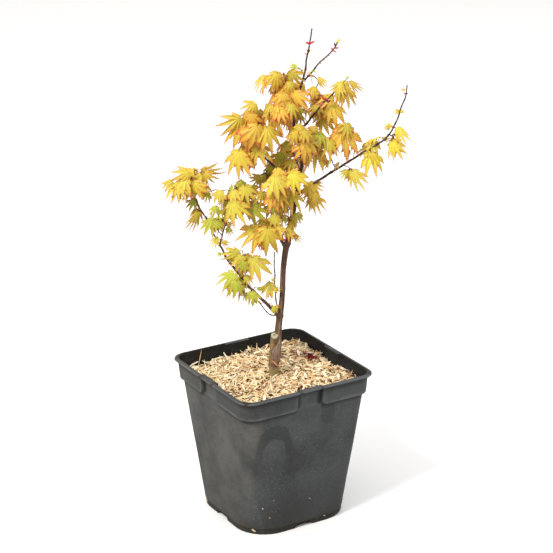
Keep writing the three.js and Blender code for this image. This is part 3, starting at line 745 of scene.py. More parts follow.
def inside_pot(x, y, z, margin):
    """How far inside the pot's inner wall a point is, less the margin."""
    h = wall_width(z) / 2 - WALL + (SKIRT_PROUD - 0.3 if max(abs(x), abs(y)) > 60 and min(abs(x), abs(y)) > SKIRT_GAP + 1 else 0)
    r = wall_corner(z)
    dx, dy = abs(x) - (h - r), abs(y) - (h - r)
    d = math.hypot(max(dx, 0), max(dy, 0)) + min(max(dx, dy), 0) - r
    return -d - margin


TRUNK_AT = (2.0 * CT, 2.0 * ST)
n = 150
grid, faces = [], []
half = 90.0
for j in range(n + 1):
    for i in range(n + 1):
        x, y = -half + 2 * half * i / n, -half + 2 * half * j / n
        # draw the square in to the pot's rounded inside
        k = inside_pot(x, y, 182, 0.6)
        if k < 0:
            f = 1 + k / max(abs(x), abs(y)) * 1.05
            for _ in range(6):
                if inside_pot(x * f, y * f, 182, 0.6) < 0:
                    f -= 0.006
            x, y = x * f, y * f
        b = noise.noise(Vector((x / 3.0, y / 3.0, 5))) * 0.9 + noise.noise(Vector((x / 9, y / 9, 1))) * 1.0
        near = math.exp(-((x - TRUNK_AT[0]) ** 2 + (y - TRUNK_AT[1]) ** 2) / 90)
        grid.append((x, y, mulch_level(x, y) - 1.3 + b * (1 - near)))
for j in range(n):
    for i in range(n):
        a = j * (n + 1) + i
        faces.append((a, a + 1, a + n + 2, a + n + 1))
edge = [i for i in range(n)] + [k * (n + 1) + n for k in range(n)] + [n * (n + 1) + n - i for i in range(n)] + [(n - k) * (n + 1) for k in range(n)]
base = len(grid)
low = COMPOST_TOP + 0.4
for e in edge:
    x, y, z = grid[e]
    grid.append((x * 0.985, y * 0.985, low))
for k in range(len(edge)):
    j = (k + 1) % len(edge)
    faces.append((edge[j], edge[k], base + k, base + j))
faces.append(tuple(base + k for k in range(len(edge)))[::-1])
bed = make("mulch_bed", np.array(grid) * MM, faces, [bed_material()])
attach(bed, "root"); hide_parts("mulch")

WOOD = [(244, 226, 188), (236, 212, 168), (224, 194, 146), (250, 238, 208), (216, 178, 126), (190, 156, 112),
        (158, 124, 84), (112, 84, 56), (76, 54, 38), (150, 26, 36), (92, 22, 30), (232, 212, 184)]
wood = [plain(f"sliver_{k}", c, 0.82, 0.25) for k, c in enumerate(WOOD)]
slivers = Pile("mulch_slivers", wood, 190000)


def sliver(pile, at, length, width, thick, turn, pitch, roll, tone, bend=0.0, point=0.5, segs=3):
    """A splinter of wood: a flat bar with torn, pointed or blunt ends."""
    verts = []
    for k in range(segs + 1):
        t = k / segs
        e = 1 - abs(2 * t - 1) ** 2.2 * point
        if k in (0, segs):
            e *= rnd.uniform(0.35, 1.0)
        w, h = width / 2 * e, thick / 2 * (0.6 + 0.4 * e)
        x = (t - 0.5) * length
        z = bend * (1 - (2 * t - 1) ** 2) * length
        s = rnd.uniform(-0.12, 0.12) * width
        for a, b in ((-1, -1), (1, -1), (1, 1), (-1, 1)):
            verts.append(Vector((x + rnd.uniform(-0.1, 0.1) * width, s + a * w * rnd.uniform(0.8, 1.1), z + b * h)))
    rot = Matrix.Rotation(turn, 3, "Z") @ Matrix.Rotation(pitch, 3, "Y") @ Matrix.Rotation(roll, 3, "X")
    verts = [rot @ v + Vector(at) for v in verts]
    faces = [(3, 2, 1, 0), (segs * 4, segs * 4 + 1, segs * 4 + 2, segs * 4 + 3)]
    for k in range(segs):
        for i in range(4):
            j = (i + 1) % 4
            faces.append((k * 4 + i, k * 4 + j, k * 4 + 4 + j, k * 4 + 4 + i))
    low = min(v.z for v in verts)
    for v in verts:                                   # nothing pokes through the wall
        d = inside_pot(v.x, v.y, max(174, min(196, v.z)), 0.3)
        if d < 0:
            q = math.hypot(v.x, v.y)
            v.x *= 1 + d / q * 1.2
            v.y *= 1 + d / q * 1.2
    pile.add([tuple(v * MM) for v in verts], faces, tone)


# spots where the chips part and the dark compost shows
BARE = ((-0.4, -58.8, 5.0), (6.0, -57.5, 3.0), (-21.6, -52.9, 3.6), (-26.0, -55.0, 2.6))


def scatter(count, lift, spread, tones, long_=(6, 14), wide=(0.8, 2.6), seed=0):
    r = random.Random(seed)
    made = 0
    while made < count:
        x, y = r.uniform(-91, 91), r.uniform(-91, 91)
        if inside_pot(x, y, 182, 2.5) < 0:
            continue
        d = math.hypot(x - TRUNK_AT[0], y - TRUNK_AT[1])
        if d < 8.5 + lift or (lift > -0.5 and any(math.hypot(x - a, y - b) < q for a, b, q in BARE)):
            continue
        length = r.triangular(long_[0], long_[1], long_[0] * 1.25)
        width = r.triangular(wide[0], wide[1], wide[0] * 1.3)
        pitch = r.gauss(0, spread)
        z = mulch_level(x, y) + lift + r.uniform(-0.8, 0.8) + abs(math.sin(pitch)) * length * 0.22
        room = inside_pot(x, y, 182, 0.5)
        length = min(length, room * 2 + 5)
        sliver(slivers, (x, y, z), length, width, r.uniform(0.4, 0.9), r.uniform(0, math.pi), pitch,
               r.gauss(0, 0.35), r.choices(range(len(tones)), [t[1] for t in tones])[0] if False else
               tones[r.choices(range(len(tones)), [t[1] for t in tones])[0]][0], r.uniform(-0.04, 0.07), r.uniform(0.1, 0.85))
        made += 1


scatter(1500, -1.2, 0.22, [(6, 3), (7, 3), (8, 3), (5, 2)], (4, 9), (0.8, 2.2), seed=11)
scatter(1900, -0.2, 0.28, [(0, 2), (1, 4), (2, 4), (5, 3), (4, 3), (6, 2), (3, 1), (7, 1), (8, 0.5)], (5, 11), (0.8, 2.6), seed=12)
scatter(1250, 1.0, 0.30, [(0, 4), (1, 4), (3, 1.6), (2, 2.6), (4, 1.8), (11, 1.5), (5, 1.2), (6, 0.5), (9, 0.06)], (5, 14), (0.7, 3.4), seed=13)
scatter(500, 1.3, 0.30, [(0, 3), (1, 3), (3, 1), (4, 2), (5, 1)], (8, 17), (0.5, 1.0), seed=17)
scatter(330, 1.8, 0.36, [(0, 4), (3, 4), (1, 3), (4, 1), (2, 1.5), (11, 1)], (8, 16), (1.5, 4.4), seed=14)
# broad flat flakes, more of them near the front corner
r = random.Random(15)
for k in range(40):
    x, y = (r.uniform(-78, 60), r.uniform(-82, -20)) if k % 2 else (r.uniform(-80, 80), r.uniform(-80, 80))
    if inside_pot(x, y, 182, 6) < 0 or math.hypot(x, y) < 14:
        continue
    sliver(slivers, (x, y, mulch_level(x, y) + 1.9), r.uniform(8, 14), r.uniform(4, 6.5), 0.9, r.uniform(0, 3.1),
           r.gauss(0, 0.15), r.gauss(0, 0.2), r.choice([1, 4, 2, 0]), 0.02, 0.25)


def upright(u, v, tall, lean, tone, width=1.1):
    """A splinter standing out of the mulch."""
    p = world((u, v, 0)) / MM
    z = mulch_level(p[0], p[1])
    sliver(slivers, (p[0], p[1], z + tall * 0.42), tall, width, 0.6, lean, -1.25, 0.2, tone, 0.02, 0.7)


def nearly_at(x, y, tall, turn, tone, width=1.1):
    z = mulch_level(x, y)
    sliver(slivers, (x, y, z + tall * 0.4), tall, width, 0.6, turn, -1.3, 0.2, tone, 0.02, 0.7)


nearly_at(-60, 82, 27, 0.3, 4, 0.9)
nearly_at(-54, 80, 12, 1.3, 3)
nearly_at(24, 80, 14, 0.8, 1)
nearly_at(75, 70, 14, 2.0, 4, 3.2)
nearly_at(80, 46, 9, 1.0, 1, 1.6)
nearly_at(52, 82, 9, 0.5, 2, 1.4)
nearly_at(84, 30, 8, 0.2, 2)
nearly_at(86, -64, 8, 1.2, 8, 1.2)
nearly_at(-12, 82, 8, 1.9, 5)

# a tuft of dark red fibres near the back right wall, and single ones about the bed
r = random.Random(16)
fibres = Pile("mulch_fibres", [wood[9], wood[10], plain("fibre_brown", (70, 36, 30), 0.85, 0.2)])
for k in range(230):
    a, q = r.uniform(0, 6.283), abs(r.gauss(0, 0.5))
    if k < 176:                                       # a long tuft beside the wall
        q1, q2 = r.gauss(0, 0.55), r.gauss(0, 0.5)
        x, y = 69 + 0.43 * q1 * 21 + 0.90 * q2 * 8, 26 - 0.90 * q1 * 21 + 0.43 * q2 * 8
    elif k < 194:
        x, y = 44 + r.gauss(0, 5), 84 + r.gauss(0, 2)
    else:
        x, y = r.uniform(-70, 70) + math.cos(a) * q * 13, r.uniform(-75, 75) + math.sin(a) * q * 17
    if inside_pot(x, y, 182, 3) < 0 or math.hypot(x, y) < 12:
        continue
    z = mulch_level(x, y) + r.uniform(0.6, 3.0)
    l, turn = r.uniform(6, 13), r.uniform(0, 6.283)
    d = np.array([math.cos(turn), math.sin(turn), r.uniform(-0.2, 0.25)])
    nn = np.array([-d[1], d[0], 0])
    c = catmull([np.array([x, y, z]) + d * l * (t - 0.5) + nn * r.uniform(-1.5, 1.5) + np.array([0, 0, r.uniform(0, 1.4)]) for t in (0, 0.35, 0.7, 1)], 3)
    v, f = tube(c, np.full(len(c), r.uniform(0.2, 0.42)), 4)
    ok = all(inside_pot(p[0], p[1], 182, 0.4) > 0 for p in v)
    if ok:
        fibres.add(v * MM, f, r.choice([0, 0, 1, 1, 2]))
# small torn bits of dark red leaf
for x, y in ((-44.8, 33.8), (-12.2, 32.7), (34.8, -22.3), (57.8, -26.2), (12.9, -53.9), (30, 10), (-60, -20), (-20, 60), (50, -60)):
    for q in range(2):
        a, b = x + r.gauss(0, 1.2), y + r.gauss(0, 1.2)
        sliver(slivers, (a, b, mulch_level(a, b) + 2.2), r.uniform(3, 5.5), r.uniform(1.4, 2.4), 0.4, r.uniform(0, 3.1), r.gauss(0, 0.2), r.gauss(0, 0.3), (9, 10)[q], 0.05, 0.5)
# dark crumbs of compost in the bare spots
for a0, b0, q0 in BARE:
    for q in range(26):
        a, b = a0 + r.gauss(0, q0 * 0.5), b0 + r.gauss(0, q0 * 0.5)
        sliver(slivers, (a, b, mulch_level(a, b) - 0.6 + r.uniform(-0.5, 0.7)), r.uniform(1.8, 3.6), r.uniform(1.2, 2.4), 1.2, r.uniform(0, 3.1), r.gauss(0, 0.4), r.gauss(0, 0.4), r.choice([8, 8, 8, 7]), 0.0, 0.6)
# a splinter that leans on the stem
p = world((3.9, -7.7, 200.8)) / MM
sliver(slivers, tuple(p), 10.0, 1.3, 0.6, math.radians(-30.73), 0.80, 1.35, 4, 0.0, 0.3)
# crumbs of wood stuck to the foot and the wall
STUCK = ((0, -64.5, -60.4, 5.2, 5.5, 1.6), (1, 30.4, 0, 7.2, 3.2, 1.3), (1, 6.9, 0, 38.8, 3.4, 0.5), (1, -62.4, 0, 42.9, 1.6, 0.9), (1, -51.8, 0, 26.9, 1.7, 1.2),
         (1, -46.9, 0, 50.6, 1.2, 0.8), (2, 0, 41, 6.5, 2.4, 1.2), (3, 0, -30, 58, 2.0, 0.8), (4, -22, 0, 31, 2.4, 0.8))
for kind, a, b, z, l, w in STUCK:
    h = (FOOT_WIDTH if z < FOOT_HEIGHT else wall_width(z)) / 2
    turn, lean = 0.0, 0.5
    if kind == 0:                                     # on the front corner of the foot
        rad = CORNER_LOW - 1
        m = np.array([-h + rad, -h + rad])
        u_ = np.array([a, b]) - m
        u_ = u_ / np.linalg.norm(u_)
        x, y = m + u_ * (rad + 0.15)
        turn = math.atan2(u_[0], -u_[1])
    elif kind == 1:
        x, y = a, -h - 0.15
    elif kind == 2:
        x, y, turn = -h - 0.15, b, -math.pi / 2
    elif kind == 3:
        x, y, turn = h + 0.15, b, math.pi / 2
    else:
        x, y, turn = a, h + 0.15, math.pi
    along = Vector((math.cos(turn), math.sin(turn), 0))
    outw = Vector((math.sin(turn), -math.cos(turn), 0))
    a_, b_ = along * math.cos(lean) + Vector((0, 0, -math.sin(lean))), along * math.sin(lean) + Vector((0, 0, math.cos(lean)))
    pts8 = []
    for o_ in (-0.45, 0.35):
        for e, f, s_ in ((-1, -1, 1.0), (0.1, -1.1, 1), (1, -0.5, 1), (0.9, 0.8, 1), (-0.2, 1.0, 1), (-1.05, 0.6, 1)):
            pts8.append(tuple((Vector((x, y, z)) + a_ * (e * l / 2) + b_ * (f * w / 2) + outw * o_) * MM))
    slivers.add(pts8, [(5, 4, 3, 2, 1, 0), (6, 7, 8, 9, 10, 11)] + [(q, (q + 1) % 6, 6 + (q + 1) % 6, 6 + q) for q in range(6)], r.choice([0, 1, 4]))
for o in slivers.build(smooth=False) + fibres.build():
    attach(o, "root")

compost = bpy.data.objects[frame["nodes"]["compost"].name] if hasattr(frame["nodes"]["compost"], "name") else frame["nodes"]["compost"]
mat = compost_material()
compost.data.materials.clear() if len(compost.data.materials) == 0 else None
if len(compost.material_slots):
    for s in compost.material_slots:
        s.material = mat
else:
    compost.data.materials.append(mat)


# ------------------------------------------------------------------ stem
TRUNK_STATIONS = [(1.9, 0, 173.75, 8.2), (2.0, 0, 179, 6.9), (2.1, 0, 185, 6.2), (2.1, 0, 195, 5.9), (3.1, 0, 210.5, 6.9),
                  (5.2, 0, 220, 6.1), (7.4, 0, 233, 4.7), (8.7, 0, 249.3, 4.25), (11.0, 0, 267.6, 4.1), (13.2, 0, 283.7, 3.5),
                  (15.6, 0, 330.4, 3.55), (19.9, 0, 359.4, 4.0), (21.0, 0, 364.0, 3.4)]
STUB_STATIONS = [(2.0, -2.5, 214, 5.0), (2.8, -4.4, 228, 4.9), (3.5, -5.6, 247, 4.8)]
STUB_CUT, STUB_LEAN = np.array([3.3, -5.2, 237.8]), math.radians(42)
GRAFT_NODES = [(262.5, 0.75, 2.6), (300, 0.35, 2.0), (331, 0.3, 2.0), (357, 0.5, 4.0)]


def stations(rows, step):
    c, s = even(catmull([r[:3] for r in rows], 8), step)
    a = np.array(rows, float)
    r = np.interp(c[:, 2], a[:, 2], a[:, 3])
    return c, r


def build_stem():
    c, r = stations(TRUNK_STATIONS, 1.0)
    for z, amp, w in GRAFT_NODES:
        r = r + amp * np.exp(-((c[:, 2] - z) / w) ** 2)
    v, f = tube(c, r, 36)
    trunk = make("stem", world(v), f, [])
    c, r = stations(STUB_STATIONS, 1.0)
    v, f = tube(c, r, 32)
    stub = make("stub", world(v), f, [])
    cut_at = world(STUB_CUT)
    cut_to = world(np.array([0, -math.sin(STUB_LEAN), math.cos(STUB_LEAN)])) / MM
    bm = bmesh.new()
    bm.from_mesh(stub.data)
    g = bm.verts[:] + bm.edges[:] + bm.faces[:]
    res = bmesh.ops.bisect_plane(bm, geom=g, plane_co=cut_at, plane_no=cut_to, clear_outer=True)
    edges = [e for e in res["geom_cut"] if isinstance(e, bmesh.types.BMEdge)]
    bmesh.ops.contextual_create(bm, geom=edges)
    bm.to_mesh(stub.data)
    bm.free()
    bm = bmesh.new()
    bm.from_mesh(trunk.data)
    bm.from_mesh(stub.data)
    # the smooth swelling of the union, on the front and a little to the right
    c = catmull([np.array(p, float) for p in ((2.8, -1.2, 190), (5.2, -3.2, 202), (6.5, -3.6, 213), (7.6, -2.6, 226), (8.6, -0.6, 241))], 10)
    c, q_ = even(c, 1.0)
    lv, lf = tube(c, 2.2 + 3.2 * np.sin(np.linspace(0, math.pi, len(c))) ** 0.8, 20)
    me = bpy.data.meshes.new("union")
    me.from_pydata([tuple(p) for p in world(lv)], [], lf)
    bm.from_mesh(me)
    # swollen roots at the foot
    for k, (ang, w) in enumerate(((0.4, 2.8), (2.3, 3.1), (4.0, 2.6), (5.3, 2.4))):
        d = np.array([math.cos(ang), math.sin(ang), 0])
        c = catmull([np.array([2, 0, 190.0]) + d * 2, np.array([2, 0, 183.5]) + d * 5.2, np.array([2, 0, 178]) + d * 9], 5)
        rv, rf = tube(c, np.linspace(w * 0.8, w * 0.75, len(c)), 10)
        me = bpy.data.meshes.new("root")
        me.from_pydata([tuple(p) for p in world(rv)], [], rf)
        bm.from_mesh(me)
    bmesh.ops.recalc_face_normals(bm, faces=bm.faces)
    bm.to_mesh(trunk.data)
    bm.free()
    bpy.data.objects.remove(stub)
    mod = trunk.modifiers.new("skin", "REMESH")
    mod.mode, mod.voxel_size = "VOXEL", 0.00042
    apply(trunk)
    me = trunk.data
    n = len(me.vertices)
    co = np.zeros(n * 3)
    no = np.zeros(n * 3)
    me.vertices.foreach_get("co", co)
    me.vertices.foreach_get("normal", no)
    co, no = co.reshape(-1, 3), no.reshape(-1, 3)
    away = np.abs((co - cut_at) @ cut_to) / MM
    near = np.linalg.norm(co - cut_at, axis=1) / MM
    for i in range(n):
        p = co[i] / MM
        q = Vector((p[0] * 0.55, p[1] * 0.55, p[2] * 0.09))
        low = smooth01((262 - p[2]) / 30)
        a = noise.noise(q) * (0.14 + 0.40 * low) + noise.noise(Vector((p[0] * 1.4, p[1] * 1.4, p[2] * 0.35))) * (0.07 + 0.13 * low)
        a += noise.noise(Vector((p[0] * 0.2, p[1] * 0.2, p[2] * 0.07))) * 0.35 * low
        if away[i] < 0.5 and near[i] < 5.4:
            a *= 0.15
        co[i] += no[i] * a * MM
    me.vertices.foreach_set("co", co.ravel())
    me.materials.append(bark_material())
    me.materials.append(cut_material())
    me.materials.append(plain("cut_rim", (104, 82, 56), 0.8, 0.25))
    me.update()
    idx = np.zeros(len(me.polygons), np.int32)
    cen = np.zeros(len(me.polygons) * 3)
    nor = np.zeros(len(me.polygons) * 3)
    me.polygons.foreach_get("center", cen)
    me.polygons.foreach_get("normal", nor)
    cen, nor = cen.reshape(-1, 3), nor.reshape(-1, 3)
    flat = (np.abs((cen - cut_at) @ cut_to) < 0.0006) & (nor @ cut_to > 0.86)
    off = np.linalg.norm(cen - cut_at, axis=1)
    idx[flat & (off < 0.0060)] = 1
    idx[flat & (off < 0.0060) & (off > 0.0043)] = 2
    me.polygons.foreach_set("material_index", idx)
    me.polygons.foreach_set("use_smooth", np.ones(len(me.polygons), bool))
    me.update()
    return trunk


stem = build_stem()
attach(stem, "root"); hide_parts("trunk", "rootstock_stub")

# ------------------------------------------------------------------ boughs
LIMBS = {
    "leader": (3.2, 0.75, [(20.2, 0, 358), (25.1, 0, 381.6), (34, 0, 434.6), (38.8, 0, 466), (29.2, 0, 512), (27.6, 0, 528), (38.1, 0, 559.3), (46.7, 0, 598.9), (51, 0, 628)]),
    "fork_arm": (1.9, 1.1, [(16.5, -1, 357), (9, -4, 370), (0, -8, 382)]),
    "second_top_twig": (1.1, 0.75, [(42.6, 0, 567), (60.6, -1, 587.7), (76.6, -1, 604), (82, -1, 613)]),
    "right_bough": (1.8, 1.15, [(34.0, -1, 424), (55.8, -12, 441.5), (77.6, -14, 457), (110, -15, 477.6), (139.6, -15, 496.3)]),
    "right_bough_tip": (1.15, 0.7, [(139.6, -15, 496.3), (147.5, -15, 508.5), (155.8, -15, 526.3), (163.6, -15, 552), (164.8, -15, 561.3)]),
    "right_top_twig": (1.5, 0.9, [(30.5, -1, 504), (40.8, -12, 512.8), (67.6, -18, 545.8), (76, -18, 554)]),
    "left_shoulder_bough": (1.7, 1.1, [(33, 0, 432), (8.7, -3, 457.5), (-5, -5, 470), (-19, -8, 487)]),
    "front_bough": (1.6, 1.0, [(38, -1, 471), (37, -16, 487), (36, -30, 502)]),
    "middle_front_bough": (1.6, 1.0, [(32, -1, 419), (25, -16, 430), (18, -30, 441)]),
    "back_bough": (1.7, 1.1, [(36.5, 1, 449), (33, 22, 458), (29, 40, 466)]),
    "back_top_bough": (1.5, 1.0, [(29.5, 1, 506), (28, 20, 519), (28, 36, 530)]),
    "lower_left_bough": (2.2, 1.3, [(9.4, -3, 264), (-2, -9, 277), (-20.9, -10, 299), (-33.4, -10, 312.8), (-49, -10, 335), (-64, -10, 362.2)]),
    "lower_left_arm": (1.2, 0.7, [(-63.5, -10, 361.4), (-78, -10, 392), (-88, -10, 412), (-93.4, -10, 426)]),
    "lower_right_arm": (1.0, 0.8, [(-63.0, -10, 361.6), (-59, -10, 378), (-52, -11, 396)]),
    "thin_stem": (0.9, 0.75, [(8.2, -3.2, 268), (5.3, -6, 294), (4.0, -6, 318), (4.2, -6, 350)]),
}
NODE_GAP = {"leader": 24, "right_bough": 22, "lower_left_bough": 21, "second_top_twig": 15, "right_bough_tip": 15}
bark = [bough_material()]
boughs = Pile("boughs", bark, 180000)
skeleton = []          # (point mm, tangent, radius, limb name)


def limb_curve(rows, seed, jitter=0.55):
    r = random.Random(seed)
    c, s = even(catmull(rows, 10), 0.9)
    ph = [r.uniform(0, 6.28) for _ in range(4)]
    k = np.minimum(1, np.minimum(s, s[-1] - s) / 12)
    c = c + (np.stack([np.sin(s / 8.5 + ph[0]) + 0.5 * np.sin(s / 3.7 + ph[1]), np.sin(s / 9.5 + ph[2]),
                       0.4 * np.sin(s / 7.0 + ph[3])], 1) * (jitter * k)[:, None])
    return c, s


def ringed(c, s, r0, r1, gap, seed, first=6.0, swell=0.34, collar=0.5):
    """Radius along a limb: taper, a collar at the base and a swelling at each node."""
    r = random.Random(seed + 7)
    rad = r0 + (r1 - r0) * (s / s[-1]) ** 0.85
    rad = rad + collar * r0 * np.exp(-(s / (1.6 * r0)) ** 2)
    nodes, at = [], first
    while at < s[-1] - 2:
        nodes.append(at)
        rad = rad + swell * (0.6 + 0.4 * rad) * np.exp(-((s - at) / 0.95) ** 2)
        at += gap * r.uniform(0.8, 1.2)
    return rad, nodes


def roughen(c, v, sides, amount, seed):
    """Fine ridges and hollows on a tube."""
    m_ = len(c) * sides
    axis_ = np.repeat(c, sides, 0)
    d = v[:m_] - axis_
    l = np.linalg.norm(d, axis=1) + 1e-9
    k = np.array([noise.noise(Vector((p[0] * 0.9 + seed, p[1] * 0.9, p[2] * 0.35))) for p in v[:m_]])
    v[:m_] += d / l[:, None] * (k * amount)[:, None]
    return v


limb_nodes = {}
for k, (name, (r0, r1, rows)) in enumerate(LIMBS.items()):
    c, s = limb_curve(rows, 100 + k, 0.3 if name in ("fork_arm", "lower_right_arm") else 0.55)
    rad, nodes = ringed(c, s, r0, r1, NODE_GAP.get(name, 16), 100 + k, collar=0.0 if name in ("right_bough_tip", "lower_left_arm") else 0.5)
    sides = 12 if r0 > 1.5 else 9
    v, f = tube(c, rad, sides)
    v = roughen(c, v, sides, 0.16 * min(1.5, r0), k)
    boughs.add(world(v), f, 0)
    t, _, _ = frames(c)
    limb_nodes[name] = [(c[int(np.argmin(abs(s - a)))], t[int(np.argmin(abs(s - a)))], float(rad[int(np.argmin(abs(s - a)))])) for a in nodes]
    for i in range(0, len(c), 3):
        if s[i] > (4 if k else 25):
            skeleton.append((c[i], t[i], float(rad[i]), name))

# ------------------------------------------------------------------ leaves
# tint families: blade near the veins, blade, outer blade, margin, tip, vein
TINTS = {
    "gold":   [(212, 190, 62), (220, 188, 60), (224, 172, 62), (222, 132, 70), (212, 94, 64), (222, 200, 84)],
    "ochre":  [(192, 176, 54), (204, 178, 54), (210, 160, 56), (194, 112, 54), (184, 82, 52), (204, 188, 76)],
    "orange": [(222, 186, 64), (228, 178, 64), (228, 158, 64), (220, 118, 68), (208, 84, 60), (230, 196, 88)],
    "yellow": [(206, 196, 66), (214, 196, 66), (222, 184, 68), (220, 146, 76), (212, 110, 72), (218, 206, 94)],
    "green":  [(168, 174, 50), (182, 178, 52), (194, 172, 58), (188, 120, 54), (180, 90, 50), (186, 190, 74)],
    "lime":   [(180, 190, 56), (190, 192, 58), (200, 186, 62), (208, 150, 72), (204, 116, 70), (196, 202, 84)],
    "lemon":  [(220, 208, 62), (226, 206, 60), (230, 194, 60), (228, 160, 66), (220, 126, 64), (232, 220, 92)],
}
FAMILY = list(TINTS)
leaf_mats = []
for fam in FAMILY:
    for zone, rgb in zip(("inner", "blade", "outer", "margin", "tip", "vein"), TINTS[fam]):
        leaf_mats.append(plain(f"leaf_{fam}_{zone}", rgb, 0.52, 0.30))
leaf_pile = Pile("leaves", leaf_mats, 190000)
petiole_mats = [plain("petiole_red", (176, 74, 62), 0.5, 0.4), plain("petiole_gold", (206, 140, 74), 0.5, 0.4), plain("petiole_green", (178, 150, 66), 0.5, 0.4)]
petioles = Pile("petioles", petiole_mats)
twig_mats = [plain("twig_dark", (68, 36, 34), 0.55, 0.4), plain("twig_brown", (100, 66, 52), 0.6, 0.35), plain("twig_young", (132, 66, 52), 0.5, 0.4)]
twigs = Pile("twigs", twig_mats)
bud_mats = [plain("bud_red", (204, 60, 66), 0.45, 0.4), plain("bud_dark", (122, 38, 42), 0.5, 0.4), plain("bud_pink", (232, 120, 110), 0.5, 0.35), plain("bud_gold", (214, 164, 62), 0.5, 0.35)]
buds = Pile("buds", bud_mats)

LOBE_ANGLES = (0, 27, -27, 53, -53, 84, -84)
LOBE_LENGTHS = (1.0, 0.93, 0.93, 0.72, 0.72, 0.34, 0.34)


def leaf(base, d, nrm, size, family, spread=1.0, narrow=1.0, sinus=0.42, droop=0.25, fold=0.36, seed=0, lobes=7, detail=1.0):
    """One palmate leaf: toothed, pleated along its veins and hanging by its tips. base in mm,
    d the way its middle lobe points, nrm its face, size the length of the middle lobe."""
    r = random.Random(seed)
    d = np.asarray(d, float) / np.linalg.norm(d)
    nrm = np.asarray(nrm, float)
    nrm = nrm - d * (nrm @ d)
    nrm /= np.linalg.norm(nrm) + 1e-9
    x = np.cross(d, nrm)
    fam = FAMILY.index(family) * 6
    V, Fc, M = [], [], []
    angles = [math.radians((a + r.uniform(-4, 4)) * spread) for a in LOBE_ANGLES[:lobes]]
    lengths = [l * r.uniform(0.93, 1.06) for l in LOBE_LENGTHS[:lobes]]
    lengths[0] = 1.0
    order = sorted(range(lobes), key=lambda k: angles[k])
    back_lobe = {}
    sin_r = {}
    for q in range(len(order) - 1):
        sin_r[(order[q], order[q + 1])] = sinus * r.uniform(0.88, 1.12) * (0.78 if max(abs(angles[order[q]]), abs(angles[order[q + 1]])) > 1.5 * spread else 1.0)
    lift_ = r.uniform(0.6, 1.3)
    skew = r.uniform(-0.12, 0.12)
    for q, k in enumerate(order):
        a, L = angles[k], lengths[k]
        ax = np.array([math.sin(a), math.cos(a)])
        px = np.array([math.cos(a), -math.sin(a)])          # to the side of greater angle
        tip_z = -droop * L * L * lift_ * r.uniform(0.6, 1.5)
        tw = r.uniform(-0.25, 0.25)
        side_bend = r.uniform(-0.05, 0.05)
        for sgn in (1, -1):
            nb = order[q + 1] if sgn > 0 and q + 1 < len(order) else (order[q - 1] if sgn < 0 and q > 0 else None)
            if nb is not None:
                key = (k, nb) if sgn > 0 else (nb, k)
                rs = sin_r[key]
                half_a = abs(angles[nb] - a) / 2
                s0 = rs * math.cos(half_a)
                w0 = rs * math.sin(half_a)
            else:                                           # the outer edge of the last lobe
                s0, w0 = 0.10 * L, 0.085
                half_a = None
            s0 = min(s0, 0.72 * L)
            n_in = 3 if nb is not None else 2
            teeth = max(2, int(round((L - s0) / 0.085 * detail)))
            st = [(s0 * t, None) for t in np.linspace(0, 1, n_in + 1)[:-1]]
            n_out = teeth * 2
            for j in range(n_out):
                st.append((s0 + (L - s0) * j / n_out, j % 2))
            st.append((L, None))
            rows = []
            for s, tooth in st:
                if s < s0 - 1e-9:
                    w = (s * math.tan(half_a)) if half_a is not None else w0 * s / s0
                else:
                    t = (s - s0) / (L - s0)
                    w = w0 * (1 + 1.75 * t - 1.1 * t * t) * max(0.0, 1 - t) ** 1.22 * (narrow if t > 0 else 1.0)
                    if nb is None:
                        w *= 1.15
                    if tooth is not None and t > 0:
                        w += (0.022 if tooth else -0.010) * (1 - 0.35 * t) * (1 if w > 0.02 else 0.3)
                s2 = s + (0.018 if tooth else 0.0)
                w = max(w, 0.0015)
                # across: midrib, vein edge, inner, outer, rim
                vein = min(0.013 * (1 - 0.6 * s / L), w * 0.4)
                rim = max(w - 0.024, w * 0.66)
                row = []
                for wz in (0.0, vein, w * 0.5 if w * 0.5 > vein else (vein + rim) / 2, rim, w):
                    ss = s2 - 0.10 * wz if wz < w else s2
                    p2 = ax * min(ss, L) + px * sgn * wz + px * side_bend * (s / L) ** 2
                    rr = math.hypot(*p2)
                    z = fold * wz * (1.0 - 0.35 * s / L) + tip_z * (s / L) ** 2.1 + tw * sgn * wz * (s / L)
                    z -= 0.20 * rr * rr + 0.26 * abs(p2[0]) ** 1.5 * (1 + skew * (1 if p2[0] > 0 else -1))
                    row.append((p2[0], p2[1], z))
                rows.append(row)
            n0 = len(V)
            for row in rows:
                V.extend(row)
            for j in range(len(rows) - 1):
                t = (st[j][0] + st[j + 1][0]) / 2 / L
                for c_ in range(4):
                    a0 = n0 + j * 5 + c_
                    quad = (a0, a0 + 1, a0 + 6, a0 + 5)
                    if sgn > 0:
                        quad = quad[::-1]
                    if t > 0.90:
                        zone = 4
                    elif t > 0.80:
                        zone = (2, 2, 3, 4)[c_]
                    elif t > 0.60:
                        zone = (5, 1, 2, 3)[c_]
                    elif t > 0.38:
                        zone = (5, 0, 1, 3 if j % 3 else 2)[c_]
                    else:
                        zone = (5, 0, 0, 1 if nb is not None else 2)[c_]
                    Fc.append(quad)
                    M.append(fam + zone)
    V = np.array(V) * size
    P = np.asarray(base, float) + V[:, :1] * x + V[:, 1:2] * d + V[:, 2:] * nrm
    # the weight of the blade: lobes that stand out sag towards their tips
    rad = np.linalg.norm(V[:, :2], axis=1) / size
    sag = 0.12 * size * rad ** 2 * (1 - max(0.0, -d[2])) + 0.09 * size * rad ** 2 * np.abs(V[:, 0]) / size
    P[:, 2] -= sag
    leaf_pile.add(world(P), Fc, M)
    return P


